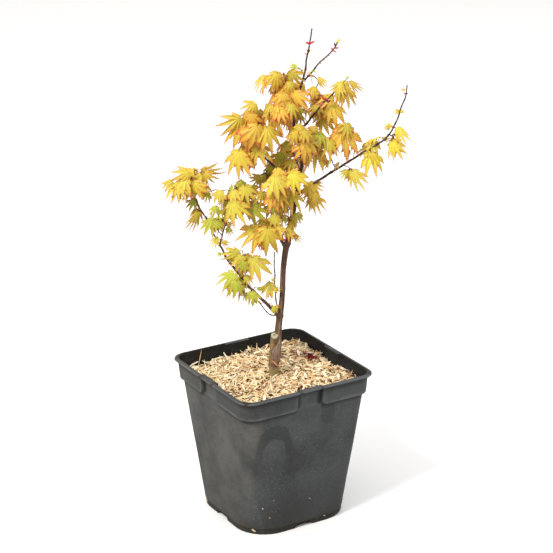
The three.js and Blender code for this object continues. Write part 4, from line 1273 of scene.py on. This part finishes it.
def petiole(a, b, out, r0=0.42, tone=0):
    """A leaf stalk from a to b, leaving along out."""
    a, b = np.asarray(a, float), np.asarray(b, float)
    l = np.linalg.norm(b - a)
    m1 = a + np.asarray(out, float) * l * 0.35 + np.array([0, 0, l * 0.06])
    m2 = a + (b - a) * 0.7 + np.array([0, 0, l * 0.10])
    c = catmull([a, m1 * 0.5 + (a + (b - a) * 0.35) * 0.5, m2, b], 3)
    r = np.interp(np.linspace(0, 1, len(c)), [0, 0.15, 0.8, 1], [r0 * 1.5, r0, r0 * 0.9, r0 * 1.25])
    v, f = tube(c, r, 5)
    petioles.add(world(v), f, tone)


def twig(points, r0, r1, tone=0, gap=11, seed=0):
    c, s = limb_curve(points, seed, 0.25)
    rad, nodes = ringed(c, s, r0, r1, gap, seed, first=min(7.0, s[-1] * 0.6), swell=0.28)
    v, f = tube(c[::2] if len(c) > 5 else c, rad[::2] if len(c) > 5 else rad, 6)
    twigs.add(world(v), f, tone)
    t, _, _ = frames(c)
    return c, t, rad, [int(np.argmin(abs(s - a))) for a in nodes]


def bud(at, d, length, width, tone, seed=0):
    """A pointed bud of a few scales."""
    d = np.asarray(d, float) / (np.linalg.norm(d) + 1e-9)
    at = np.asarray(at, float)
    n_ = 6
    c = np.array([at + d * length * t for t in np.linspace(0, 1, n_)])
    r = width / 2 * np.array([0.55, 0.95, 1.0, 0.8, 0.45, 0.08])
    v, f = tube(c, r, 7)
    buds.add(world(v), f, tone)


def unit(v):
    v = np.asarray(v, float)
    return v / (np.linalg.norm(v) + 1e-9)


# masses of foliage: middle, half sizes, leaves to fill with, tints with their shares
MASSES = {
    "crown_top": ((13, 0, 557), (34, 31, 19), 12, "gold ochre gold orange"),
    "crown_front": ((16, -42, 543), (31, 25, 22), 11, "orange gold ochre"),
    "crown_right_shoulder": ((64, 5, 529), (23, 33, 27), 11, "gold yellow ochre"),
    "upper_right_spray": ((91, -12, 555), (21, 20, 18), 4, "gold yellow"),
    "left_shoulder": ((-23, -14, 512), (35, 34, 28), 15, "gold orange gold ochre"),
    "left_skirt": ((-30, -20, 474), (24, 23, 24), 7, "gold ochre"),
    "crown_heart": ((40, -42, 501), (27, 22, 27), 12, "gold green ochre"),
    "right_cluster": ((89, -24, 497), (24, 22, 24), 5, "ochre gold green"),
    "bough_mid_leaves": ((125, -14, 480), (15, 19, 22), 4, "lemon yellow"),
    "bough_tip_leaves": ((153, -14, 492), (15, 18, 23), 4, "lemon"),
    "under_bough_leaves": ((100, -14, 449), (14, 13, 12), 3, "lemon yellow"),
    "middle_left": ((-3, 8, 444), (21, 26, 20), 8, "green ochre"),
    "middle_front": ((15, -40, 441), (27, 23, 31), 12, "ochre green gold"),
    "middle_right": ((51, -8, 420), (12, 20, 21), 5, "green gold"),
    "fork_leaves": ((26, -12, 389), (11, 17, 14), 5, "green ochre"),
    "lower_middle": ((-11, -12, 374), (25, 24, 23), 7, "gold yellow green"),
    "left_tip": ((-103, -10, 437), (33, 26, 22), 11, "gold yellow green"),
    "left_inner": ((-42, -14, 422), (34, 31, 24), 16, "yellow green lime"),
    "left_hanging": ((-94, -12, 397), (7, 9, 16), 1, "ochre"),
    "left_low": ((-64, -8, 388), (20, 23, 19), 8, "green lime yellow"),
    "low_upper": ((-35, -14, 338), (24, 21, 17), 5, "green yellow"),
    "low_left": ((-49, -14, 308), (16, 20, 17), 5, "lime green"),
    "low_foot": ((-27, -12, 291), (13, 13, 11), 2, "lime green"),
    "inner_small": ((-3, -6, 300), (9, 9, 11), 1, "yellow"),
    "back_upper": ((28, 52, 512), (34, 26, 28), 16, "gold yellow ochre"),
    "back_middle": ((22, 56, 450), (36, 29, 30), 17, "yellow gold green"),
    "back_lower": ((15, 34, 397), (22, 24, 20), 8, "green yellow lime"),
}
SMALL = {"under_bough_leaves": 0.6, "left_low": 0.6, "fork_leaves": 0.62, "left_hanging": 0.7, "low_foot": 0.6, "inner_small": 0.55,
         "middle_right": 0.8, "upper_right_spray": 0.8, "bough_tip_leaves": 0.75}
MID = {k: np.array(m[0], float) for k, m in MASSES.items()}
HALF = {k: np.array(m[1], float) for k, m in MASSES.items()}
ALL_MID, ALL_HALF = np.array(list(MID.values())), np.array(list(HALF.values()))


def crowd(points, slack=1.0):
    """For each point, how deep it is in the nearest mass: under 1 is inside."""
    p = np.atleast_2d(points)
    return ((((p[:, None, :] - ALL_MID) / (ALL_HALF * slack)) ** 2).sum(-1)).min(1)


# The outermost leaves of each mass: where each hangs from, across, back and up, the run of its
# middle lobe across and up, its tint, how far it is turned from face on, and how open it is.
LEADING = [
    ("crown_top",
     (-5.9, -6, 574.3, -12.2, -19.3, "gold", 30, 0.75),
     (9.5, -20, 581.5, -9.5, -26, "gold", -10, 0.85),
     (10.5, -12, 578.9, -3.1, -17.9, "gold", 0, 1),
     (25.8, -14, 580.2, 10.7, -20.8, "ochre", 15, 1),
     (23.4, -24, 570.3, 4.5, -15.8, "ochre", 0, 1)),
    ("crown_front",
     (15.2, -44, 561.5, -1.8, -28.3, "orange", 0, 1),
     (28.4, -36, 560.9, 15.9, -24.1, "orange", 12, 0.95),
     (3.6, -14, 533.7, -4.4, -21.4, "ochre", 0, 1),
     (32.5, -16, 537.5, 1.1, -20.2, "green", 0, 1)),
    ("crown_right_shoulder",
     (54.1, -6, 559.1, -3.7, -15.6, "gold", 0, 1),
     (58.9, 0, 569.1, 8.3, -12.6, "yellow", 35, 0.6),
     (65, -4, 541.1, -9.9, 0.1, "lemon", 30, 0.7),
     (75.3, -8, 539, 5.1, -24.4, "gold", 0, 1),
     (63.9, -2, 522.7, 4.7, -21.7, "ochre", 10, 1)),
    ("upper_right_spray",
     (88.5, -14, 566.9, 8.5, -32.9, "gold", 0, 0.7),
     (86.7, -10, 565, -14.9, -16.9, "yellow", -15, 0.55),
     (84.0, -16, 567.5, -1.5, -25, "yellow", 8, 0.6),
     (96.9, -12, 567.3, 14.2, -15.7, "gold", 25, 0.5)),
    ("left_shoulder",
     (-18.1, -20, 543.3, -15.6, -14.8, "gold", -10, 1),
     (-31.5, -26, 532, -25.5, -27.8, "gold", -15, 1),
     (-31, -20, 524.9, -12, -33.4, "gold", 0, 1),
     (-11.9, -38, 529.4, -13.6, -41.2, "orange", 0, 1),
     (3.6, -30, 530.9, 12.4, -23.9, "orange", 10, 1),
     (-4.5, -34, 522.6, 7.7, -35.8, "gold", 0, 1)),
    ("left_skirt",
     (-35.8, -32, 497.3, -6.2, -43.9, "gold", 0, 1),
     (-15.2, -26, 494.2, 8.5, -27, "ochre", 12, 1),
     (-24.5, -16, 493.8, -3.5, -19.3, "gold", 0, 1)),
    ("crown_heart",
     (37.8, -40, 518.6, -12, -20.8, "gold", -10, 1),
     (48.1, -36, 517.9, 9.8, -12, "gold", 20, 0.9),
     (42.6, -46, 503, -3.8, -30.2, "orange", 0, 1),
     (21.8, -20, 494.5, -4.7, -12, "green", 0, 1)),
    ("right_cluster",
     (71.9, -30, 501.3, -10.6, -28.7, "ochre", 0, 1),
     (89.1, -26, 511.9, 2.9, -40.3, "orange", 0, 1.12),
     (83.2, -14, 515.1, 3.5, -13.2, "yellow", 0, 1),
     (56.4, -24, 493, -4.2, -28.9, "ochre", 0, 0.9)),
    ("bough_mid_leaves",
     (121.1, -16, 482.4, 7.7, -29.2, "lemon", 0, 1),
     (130.9, -12, 498.5, -16.2, -3.5, "lemon", 50, 0.9),
     (136.7, -12, 497.2, 9.4, -6.1, "lemon", 50, 0.8)),
    ("bough_tip_leaves",
     (148.0, -18, 493.5, 11.5, -20.5, "lemon", 0, 0.85),
     (154.0, -16, 510.9, 9.0, -21.7, "lemon", 10, 0.65),
     (144.4, -15, 514.8, -5, -3.5, "yellow", 40, 0.7)),
    ("under_bough_leaves",
     (93.9, -14, 457.1, -8.8, -12.8, "lemon", -10, 0.8),
     (99.6, -18, 457, 13.4, -22.5, "yellow", 10, 0.8),
     (83.4, -14, 466.9, -9.3, -7.2, "yellow", 30, 0.7),
     (70.6, -14, 469.4, -8.1, -8.4, "yellow", 20, 0.8)),
    ("middle_left",
     (-12.3, -16, 450.1, -12.9, -7.2, "ochre", -20, 1),
     (14.8, -4, 475.5, -9.5, -18.2, "green", 0, 1),
     (26.4, -10, 469.8, -5.9, -17, "ochre", 0, 1)),
    ("middle_front",
     (4.8, -52, 463.9, 3.4, -30.8, "yellow", 0, 1),
     (26.4, -52, 465.6, 13.2, -25.3, "lemon", 10, 1),
     (2.8, -40, 436.8, 3.3, -23.6, "orange", 0, 1),
     (-8.9, -30, 435, -3.7, -20.7, "ochre", -10, 1),
     (24.8, -36, 439, 3.3, -28.8, "ochre", 0, 1)),
    ("middle_right",
     (47.0, -12, 441, 3, -23, "gold", 5, 0.85),
     (52.5, -16, 431, 7, -30, "gold", 15, 0.6),
     (49.5, -10, 441, 13, -12.4, "gold", 30, 0.7)),
    ("fork_leaves",
     (31.8, -22, 405.1, 5.8, -14.4, "green", 0, 1),
     (16.6, -16, 400.8, -4.8, -10.4, "green", 0, 1),
     (21.6, -20, 386, -0.6, -16.2, "ochre", 0, 0.9),
     (28.2, -14, 375.2, 9.9, -12.6, "gold", 25, 0.6)),
    ("lower_middle",
     (-10.5, -20, 391.9, -25.6, -30.9, "gold", -10, 1),
     (-4.2, -32, 388.5, -3.2, -36.7, "gold", 0, 1.12),
     (-7, -14, 395.4, -9.6, -17.3, "yellow", 0, 1),
     (5.4, -24, 403.5, -2, -21, "yellow", 0, 1),
     (10.2, -24, 391, 3, -18, "gold", 8, 0.85),
     (3.0, -18, 416.7, -3, -22, "green", 0, 1)),
    ("left_inner",
     (-30.8, -30, 442.9, 4.5, -28.6, "yellow", 0, 1),
     (-34.4, -26, 438.8, 21.9, -21, "green", 12, 1),
     (-49.6, -32, 427.4, 18.2, -32, "yellow", 10, 1),
     (-27.7, -24, 419.8, 20.8, -26, "green", 15, 1),
     (-61.2, -28, 436.5, -3.8, -16.8, "yellow", 0, 1),
     (-66.2, -30, 417.2, -3.8, -15.9, "lime", 0, 1),
     (-76.8, -16, 431.2, -3.8, -14.7, "green", 0, 1),
     (-53.7, -20, 407.7, 9.1, -14.9, "lime", 0, 1)),
    ("left_tip",
     (-98.2, -20, 458.2, -21.2, -8.8, "gold", -15, 1),
     (-100.8, -18, 451.5, -20.4, -20.6, "yellow", -10, 1),
     (-114.1, -14, 440.7, -6.2, -20.8, "yellow", 0, 1),
     (-121.0, -14, 446.5, -8.5, -17, "yellow", -10, 0.75),
     (-93.2, -20, 445.3, 8.1, -24.5, "gold", 10, 1),
     (-111.3, -22, 443.1, 7.7, -20.1, "yellow", 8, 1),
     (-79.7, -18, 456.2, 11.3, -15.2, "gold", 12, 1),
     (-85.4, -8, 456.9, 28.5, -11.7, "gold", 40, 0.8),
     (-92.6, -8, 420.2, -7.4, -16, "green", 0, 0.9)),
    ("left_hanging",
     (-88.7, -12, 406.6, -9.2, -29.7, "ochre", -30, 0.5)),
    ("left_low",
     (-71.7, -16, 395.4, -10.5, -19, "lime", 0, 1),
     (-66.8, -20, 395.4, 6.1, -14.4, "lime", 0, 1),
     (-55.5, -10, 388.3, 13.4, -3.4, "ochre", 30, 0.6),
     (-53.1, -12, 383.9, 4.5, -11.3, "green", 0, 0.8),
     (-65.8, -14, 372.3, -8.3, -14.2, "yellow", 10, 0.7),
     (-60.4, -16, 367.9, 9.3, -6.3, "yellow", 20, 0.7)),
    ("low_upper",
     (-40.1, -16, 353.5, -19.6, -12.9, "yellow", -25, 1),
     (-24.5, -18, 351.5, 13.4, -33.9, "yellow", 10, 1),
     (-27.7, -12, 347.4, 1, -17.7, "green", 0, 0.9)),
    ("low_left",
     (-45.6, -22, 328.5, -17.9, -20.6, "lime", -10, 1),
     (-42.8, -28, 319.3, -2.8, -24.5, "lime", 0, 1),
     (-24.5, -24, 303.8, 2.6, -21.9, "lime", 0, 0.9),
     (-31.5, -18, 323.1, 6.9, -14.5, "yellow", 0, 0.8)),
    ("low_foot",
     (-17.5, -14, 305, 9.5, -2.6, "lime", 30, 0.7)),
    ("inner_small",
     (-1.2, -8, 309.8, -4.5, -19.9, "yellow", 0, 0.9)),
    ("low_foot",
     (2.6, -12, 279.8, 1.1, -6.9, "lime", 0, 0.8)),
]
ELEV = math.radians(20.09)
placed = []           # (centre, size) of leaves already hung
stalks = []           # leaves waiting for a twig: (mass, base, d, normal, size, family, spread, seed)
r = random.Random(4021)
for group in LEADING:
    for x_, y_, z_, dx, dz, family, turn, spread in group[1:]:
        e = math.radians(r.uniform(14, 46))
        b = -dz * math.cos(ELEV) / math.cos(e - ELEV)
        d = np.array([dx, -b * math.sin(e), -b * math.cos(e)])
        size = float(np.linalg.norm(d)) * r.uniform(1.0, 1.08)
        size = max(size, 10.0)
        d = unit(d)
        full_size = size
        size = min(size, 27 + (size - 27) * 0.45) if size > 27 and spread <= 1.1 else size
        nrm = np.array([0, -math.cos(e), math.sin(e)])
        nrm = unit(nrm - d * (nrm @ d))
        t = math.radians(turn + r.gauss(0, 9))
        nrm = unit(nrm * math.cos(t) + np.cross(d, nrm) * math.sin(t))
        base = np.array([x_, y_, z_], float) + d * (full_size - size)
        stalks.append((group[0], base, d, nrm, size, family, spread, r.randrange(10 ** 6)))
        placed.append((base + d * size * 0.42, size * 0.55))

# the rest of each mass, by the seeded rule
for name, (mid, half_, count, tints) in MASSES.items():
    mid, half_ = np.array(mid, float), np.array(half_, float)
    k_small = SMALL.get(name, 1.0)
    tints = tints.split()
    for _ in range(count):
        best = None
        for _t in range(26):
            q = unit([r.gauss(0, 1), r.gauss(0, 1), r.gauss(0, 1)]) * r.uniform(0.25, 0.95)
            at = mid + q * half_ * 0.8
            size = r.uniform(18, 28) * k_small
            out = unit([at[0] - 22, (at[1] - 4) * 1.2, 0.0]) * 0.6 + unit((at - mid) * [1, 1, 0.3]) * 0.6
            if at[1] < 4:
                out = out + np.array([0, -0.7, 0])
            out = unit(out + np.array([r.gauss(0, 0.3), r.gauss(0, 0.3), 0]))
            e = math.radians(min(75, max(5, r.gauss(36, 16))))
            nrm = unit(out * math.cos(e) + np.array([0, 0, math.sin(e)]))
            d = np.array([0, 0, -1.0]) + out * r.uniform(-0.1, 0.6) + np.array([r.gauss(0, 0.35), r.gauss(0, 0.35), 0])
            d = unit(d - nrm * (nrm @ d))
            base = at - d * size * 0.42
            s_ = np.cross(d, nrm)
            tips = np.array([base + d * size, base + (d * 0.84 + s_ * 0.55) * size * 0.93, base + (d * 0.84 - s_ * 0.55) * size * 0.93,
                             base + (d * 0.38 + s_ * 0.92) * size * 0.76, base + (d * 0.38 - s_ * 0.92) * size * 0.76])
            out_cost = np.maximum(0, crowd(tips, 1.0) - 1.0).sum() * 1.6
            near = min([np.linalg.norm((at - p) * [1, 1, 1]) / (size * 0.5 + s2) for p, s2 in placed] or [9])
            cost = out_cost - min(near, 1.1) * 2.2 + r.uniform(0, 0.3)
            if best is None or cost < best[0]:
                best = (cost, base, d, nrm, size, out_cost)
        if best[5] > 2.2:
            continue
        _, base, d, nrm, size, _ = best
        stalks.append((name, base, d, nrm, size, r.choice(tints), r.uniform(0.85, 1.05), r.randrange(10 ** 6)))
        placed.append((base + d * size * 0.42, size * 0.5))

# twigs: each stalk foot is joined to the nearest twig or limb already there, nearest first
feet = []
for name, base, d, nrm, size, family, spread, seed in stalks:
    rr = random.Random(seed)
    l = rr.uniform(0.35, 0.62) * size + 2
    heart = MID[name] + np.array([0, 6 if base[1] < 20 else -6, 0])
    inward = unit(heart - base + np.array([0, 0, 6.0]))
    foot = base + unit(inward * 0.9 - nrm * 0.6 - d * 0.35) * l
    feet.append([name, foot, base, d, nrm, size, family, spread, seed])
pts = np.array([s_[0] for s_ in skeleton])
tan = np.array([s_[1] for s_ in skeleton])
rads = np.array([s_[2] for s_ in skeleton])
todo = list(range(len(feet)))
LIMIT_PULL = 0.35
while todo:
    # the foot that is closest to the tree
    F_ = np.array([feet[i][1] for i in todo])
    D2 = np.linalg.norm(F_[:, None, :] - pts[None], axis=2)
    near = D2.min(1)
    k = int(np.argmin(near))
    i = todo.pop(k)
    name, foot, base, d, nrm, size, family, spread, seed = feet[i]
    rr = random.Random(seed + 1)
    dist = np.linalg.norm(foot - pts, axis=1)
    go = (foot - pts) / (dist[:, None] + 1e-6)
    cost = dist * (1.25 - 0.45 * (go * tan).sum(1)) + np.where(pts[:, 2] > foot[2] + 8, 4, 0)
    j = int(np.argmin(cost))
    a, ta, ra = pts[j], tan[j], rads[j]
    gap = foot - a
    L = float(np.linalg.norm(gap))
    if L < 3.0:
        foot = a + unit(gap + 1e-6) * 0.5
        out = unit(base - foot)
    else:
        m1 = a + unit(unit(gap) * 0.75 + ta * 0.55) * L * 0.38
        m2 = a + gap * 0.72 + np.array([rr.gauss(0, 0.05), rr.gauss(0, 0.05), 0.07]) * L
        r0 = min(ra * 0.72, 0.62 + L * 0.006)
        r0 = max(r0, 0.5)
        c, t, rad, nodes = twig([a, m1, m2, foot], r0, 0.5, rr.choice([0, 0, 0, 1]) if L > 14 else rr.choice([0, 2]), 10, seed)
        step = 3
        pts = np.concatenate([pts, c[3::step]])
        tan = np.concatenate([tan, t[3::step]])
        rads = np.concatenate([rads, rad[3::step]])
        out = unit(t[-1] + unit(base - foot) * 0.8)
        if rr.random() < 0.5:
            bud(c[-1], t[-1] + np.array([0, 0, 0.4]), rr.uniform(1.8, 3.2), rr.uniform(1.0, 1.6), rr.choice([0, 1, 1, 2]))
        if L > 16:
            for q in nodes[:2]:
                if rr.random() < 0.6:
                    bud(c[q], np.cross(t[q], [rr.gauss(0, 1), rr.gauss(0, 1), rr.gauss(0, 1)]), 2.2, 1.2, rr.choice([0, 1, 1]))
    petiole(foot, base, out, 0.34 + 0.004 * size, rr.choice([0, 0, 1, 1, 2] if family in ("lime", "green", "yellow") else [0, 0, 0, 1]))
    leaf(base, d, nrm, size, family, spread, rr.uniform(0.82, 1.08) * (0.8 if spread < 0.76 else 1), rr.uniform(0.36, 0.50), rr.uniform(0.10, 0.34), rr.uniform(0.30, 0.58), seed)

print("leaves", len(stalks), "skeleton", len(pts))


# ------------------------------------------------------------------ bare tips, buds and young leaves
def young(base, d, nrm, size, family, narrow=0.8, spread=0.8, lobes=5, seed=0):
    return leaf(base, d, nrm, size, family, spread, narrow, 0.34, 0.15, 0.5, seed, lobes, 0.7)


def bud_pair(p, t, size, tone, seed):
    rr = random.Random(seed)
    s_ = unit(np.cross(t, [0, 1, 0.15]))
    for sg in (1, -1):
        bud(np.asarray(p) + s_ * sg * 0.4, s_ * sg + unit(t) * 0.9, size * rr.uniform(0.8, 1.2), size * 0.5, tone)


FRONT = np.array([0, -1.0, 0.35])
TOP = np.array([0, 0, 1.0])
bud((51, 0, 627.2), (0.2, 0, 1), 3.4, 1.9, 1)
bud_pair((48.2, 0, 611), (0.1, 0, 1), 5.2, 0, 1)
bud((48.8, -0.5, 611.5), (0.9, 0, 0.45), 7.5, 2.4, 0)
bud((47.0, 0, 611.5), (-1, 0, 0.25), 4.2, 1.8, 0)
young((47.4, -0.6, 600), (0.3, 0, 1), FRONT, 7, "yellow", 0.7, 0.6, 3, 5)
bud((46.0, -0.4, 598.9), (-1, 0, 0.1), 4.0, 1.8, 2)
bud((49.7, 0, 620.5), (0.4, 0, 1), 2.4, 1.3, 1)
young((81, -1, 611.5), (0.55, 0, 1), FRONT, 11, "lemon", 0.8, 0.4, 3, 6)
for k, (x_, z_, dx, dz, l, tone) in enumerate([(77, 604, -0.8, 0.6, 4.6, 0), (79, 606, 1, 0.1, 5.0, 0), (76.5, 603, 0.9, -0.4, 5.0, 2), (79.5, 608, -0.3, 1, 5.4, 1),
                                               (70.5, 597.5, 1, -0.3, 2.4, 1), (60.8, 588, -0.3, 1, 2.4, 1), (60.8, 588, 0.8, -0.4, 2.2, 1)]):
    bud((x_, -1.4, z_), (dx, 0, dz), l, l * 0.42, tone)
# knot of small twigs where the two top shoots part
c, t, rad, _ = twig([(42.0, 0, 568), (40.5, -1, 574), (38.8, -2, 579.5), (33.5, -2, 583.5)], 0.7, 0.45, 0, 9, 31)
young((33.0, -2.2, 584), (-1, -0.1, -0.02), FRONT, 13, "lime", 1.0, 0.8, 5, 7)
young((36.5, -2.5, 580.5), (-0.5, -0.3, 0.5), FRONT, 6, "ochre", 0.8, 0.7, 3, 8)
for x_, z_, dx, dz, fam, sd in ((46, 575, 0.6, 0.7, "yellow", 9), (52, 578, 1, 0.1, "lime", 10), (49, 575.5, 0.5, -0.6, "gold", 11), (38, 577, 0.5, 0.8, "yellow", 12)):
    young((x_, -2, z_), (dx, -0.2, dz), FRONT, 7, fam, 0.7, 0.6, 3, sd)
for x_, z_ in ((40.5, 573.5), (45.5, 571.5), (47.5, 573)):
    bud((x_, -1.0, z_), (r.uniform(-1, 1), -0.2, r.uniform(0, 1)), 3.0, 1.4, 0)
petiole((50, 0, 576), (51.5, -3, 563), (0.5, 0, -1), 0.4, 0)
# bud cluster on the right top twig, and the shoot beyond it
bud_pair((67.6, -18, 545.5), (0.7, 0, 0.7), 5.5, 0, 3)
bud((66, -19, 547), (-0.6, -0.1, 0.75), 6.2, 2.6, 0)
bud((69, -19, 544.5), (1, -0.2, 0.4), 5.5, 2.8, 1)
bud((63.5, -18.5, 540), (-0.3, -0.3, 1), 6.5, 2.4, 2)
bud((62, -18.5, 538.5), (-0.8, -0.3, 0.6), 4.5, 2.0, 2)
twig([(75, -18, 553), (84, -16, 562), (92.4, -13, 570.8)], 0.8, 0.5, 2, 8, 33)
young((92.4, -13, 570.5), (0.5, -0.2, 1), FRONT, 8, "lime", 0.8, 0.7, 3, 13)
# upper tip of the right bough
bud((164.8, -15, 561), (0.1, 0, 1), 3.2, 1.7, 1)
young((163.0, -15.6, 557), (-1, -0.2, 0.35), FRONT, 7.5, "orange", 0.9, 0.7, 3, 14)
bud_pair((163.6, -15, 552), (0.1, 0, 1), 3.4, 1, 4)
bud_pair((157.0, -15, 529.5), (0.3, 0, 1), 4.0, 0, 5)
young((155.5, -16, 530), (-0.8, -0.3, 0.25), FRONT, 9, "lemon", 0.8, 0.8, 5, 15)
young((157.5, -16, 530), (0.7, -0.3, 0.5), FRONT, 7.5, "yellow", 0.8, 0.8, 5, 16)
young((155.0, -16, 532), (-0.9, -0.2, 0.9), FRONT, 6, "gold", 0.7, 0.8, 3, 17)
bud_pair((148.4, -15, 510.5), (0.5, 0, 1), 3.6, 0, 6)
young((146.5, -16, 512), (-1, -0.2, 0.55), FRONT, 12, "lemon", 0.7, 0.8, 5, 18)
young((145.0, -16, 511), (-0.9, -0.3, -0.1), FRONT, 9, "yellow", 0.7, 0.8, 5, 19)
# buds and small leaves at the nodes of the lower limbs
twig([(-37.0, -10.2, 316.5), (-35, -11, 325), (-34.0, -12, 332), (-31.5, -12, 339.5)], 0.8, 0.5, 0, 8, 35)
for k, (x_, z_) in enumerate(((-35.3, 326.5), (-33.5, 333.5), (-31.5, 339.5))):
    bud((x_, -12, z_), (1 if k % 2 else -1, -0.2, 0.8), 3.2, 1.5, (0, 2, 0)[k])
twig([(5.9, -5, 265.1), (-2.3, -8, 267.3), (-9.8, -9, 276.7), (-15.7, -9.5, 286.3)], 0.85, 0.6, 0, 9, 36)
for k, (x_, z_, dx, dz, l, tone) in enumerate([(-15.5, 286.5, -1, 0.3, 3.4, 0), (-13.5, 284, 0.9, 0.5, 3.2, 0), (-17.0, 290, -0.4, 1, 3.0, 2), (-33.0, 312.5, 0.9, 0.4, 3.0, 0),
                                               (-49.0, 335.0, -0.9, 0.5, 3.2, 0), (-49.0, 335.4, 0.9, 0.2, 3.0, 1), (-63.5, 362.5, -0.9, 0.3, 3.6, 1), (-63.0, 363.0, 0.8, 0.4, 3.0, 0)]):
    bud((x_, -12, z_), (dx, -0.3, dz), l, l * 0.42, tone)
for x_, z_, dx, dz, size, fam, sd in ((1.8, 277.5, -0.9, 0.6, 8, "orange", 20), (5.2, 277.0, 0.9, 0.6, 7, "orange", 21), (4.6, 300.5, -0.9, 0.7, 8, "gold", 22), (5.4, 300, 0.9, 0.4, 9, "lime", 23),
                                      (4.4, 301, 0.2, 1, 8, "yellow", 24), (4.8, 276, 0.1, -1, 9, "lime", 25), (3.8, 312, -0.4, 1, 8, "yellow", 26), (-34, 323, -1, 0.1, 8, "lime", 27),
                                      (-62, 352, -0.7, -0.5, 9, "lime", 28), (-52, 341, 0.7, 0.7, 9, "green", 29)):
    young((x_, -8 if x_ > -10 else -13, z_), (dx, -0.3, dz), FRONT, size, fam, 0.85, 0.8, 5, sd)
for x_, z_ in ((4.8, 301), (3.6, 302), (5.6, 299.5), (5.0, 276.5), (6.6, 278)):
    bud((x_, -7, z_), (r.uniform(-1, 1), -0.3, r.uniform(0.2, 1)), 3.2, 1.5, 0)
# buds at the nodes of the limbs that show
for name in ("leader", "right_bough", "left_shoulder_bough", "right_top_twig", "lower_left_arm", "back_bough", "back_top_bough", "lower_right_arm"):
    for k, (p, t, rad) in enumerate(limb_nodes[name]):
        if name == "leader" and p[2] < 400:
            continue
        a = k * math.pi / 2 + 0.4
        u_ = unit(np.cross(t, [0.2, 1, 0.1]))
        w_ = np.cross(t, u_)
        for sg in (1, -1):
            o_ = (u_ * math.cos(a) + w_ * math.sin(a)) * sg
            bud(p + o_ * rad * 0.7, o_ + t * 1.1, 2.2, 1.2, 1 if k % 3 else 0)

for o in leaf_pile.build():
    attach(o, "root")
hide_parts(*MASSES)
for o in petioles.build() + buds.build():
    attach(o, "root")
for o in twigs.build():
    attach(o, "root")
bough_pieces = boughs.build()
for o in bough_pieces:
    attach(o, "root")
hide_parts(*LIMBS)

# ------------------------------------------------------------------ floor
paper = plain("floor_paper", (252, 252, 251), 0.95, 0.05)
lp = paper.node_tree.nodes.new("ShaderNodeLightPath")
mx = paper.node_tree.nodes.new("ShaderNodeMix")
mx.data_type = "RGBA"
mx.inputs[6].default_value = lin(170, 168, 164)      # what it throws back up on to the pot
mx.inputs[7].default_value = lin(253, 253, 252)
paper.node_tree.links.new(lp.outputs["Is Camera Ray"], mx.inputs[0])
paper.node_tree.links.new(mx.outputs[2], paper.node_tree.nodes["Principled BSDF"].inputs["Base Color"])
floor = make("floor", [(-9, -9, 0), (9, -9, 0), (9, 9, 0), (-9, 9, 0)], [(0, 1, 2, 3)], [paper], smooth=False)
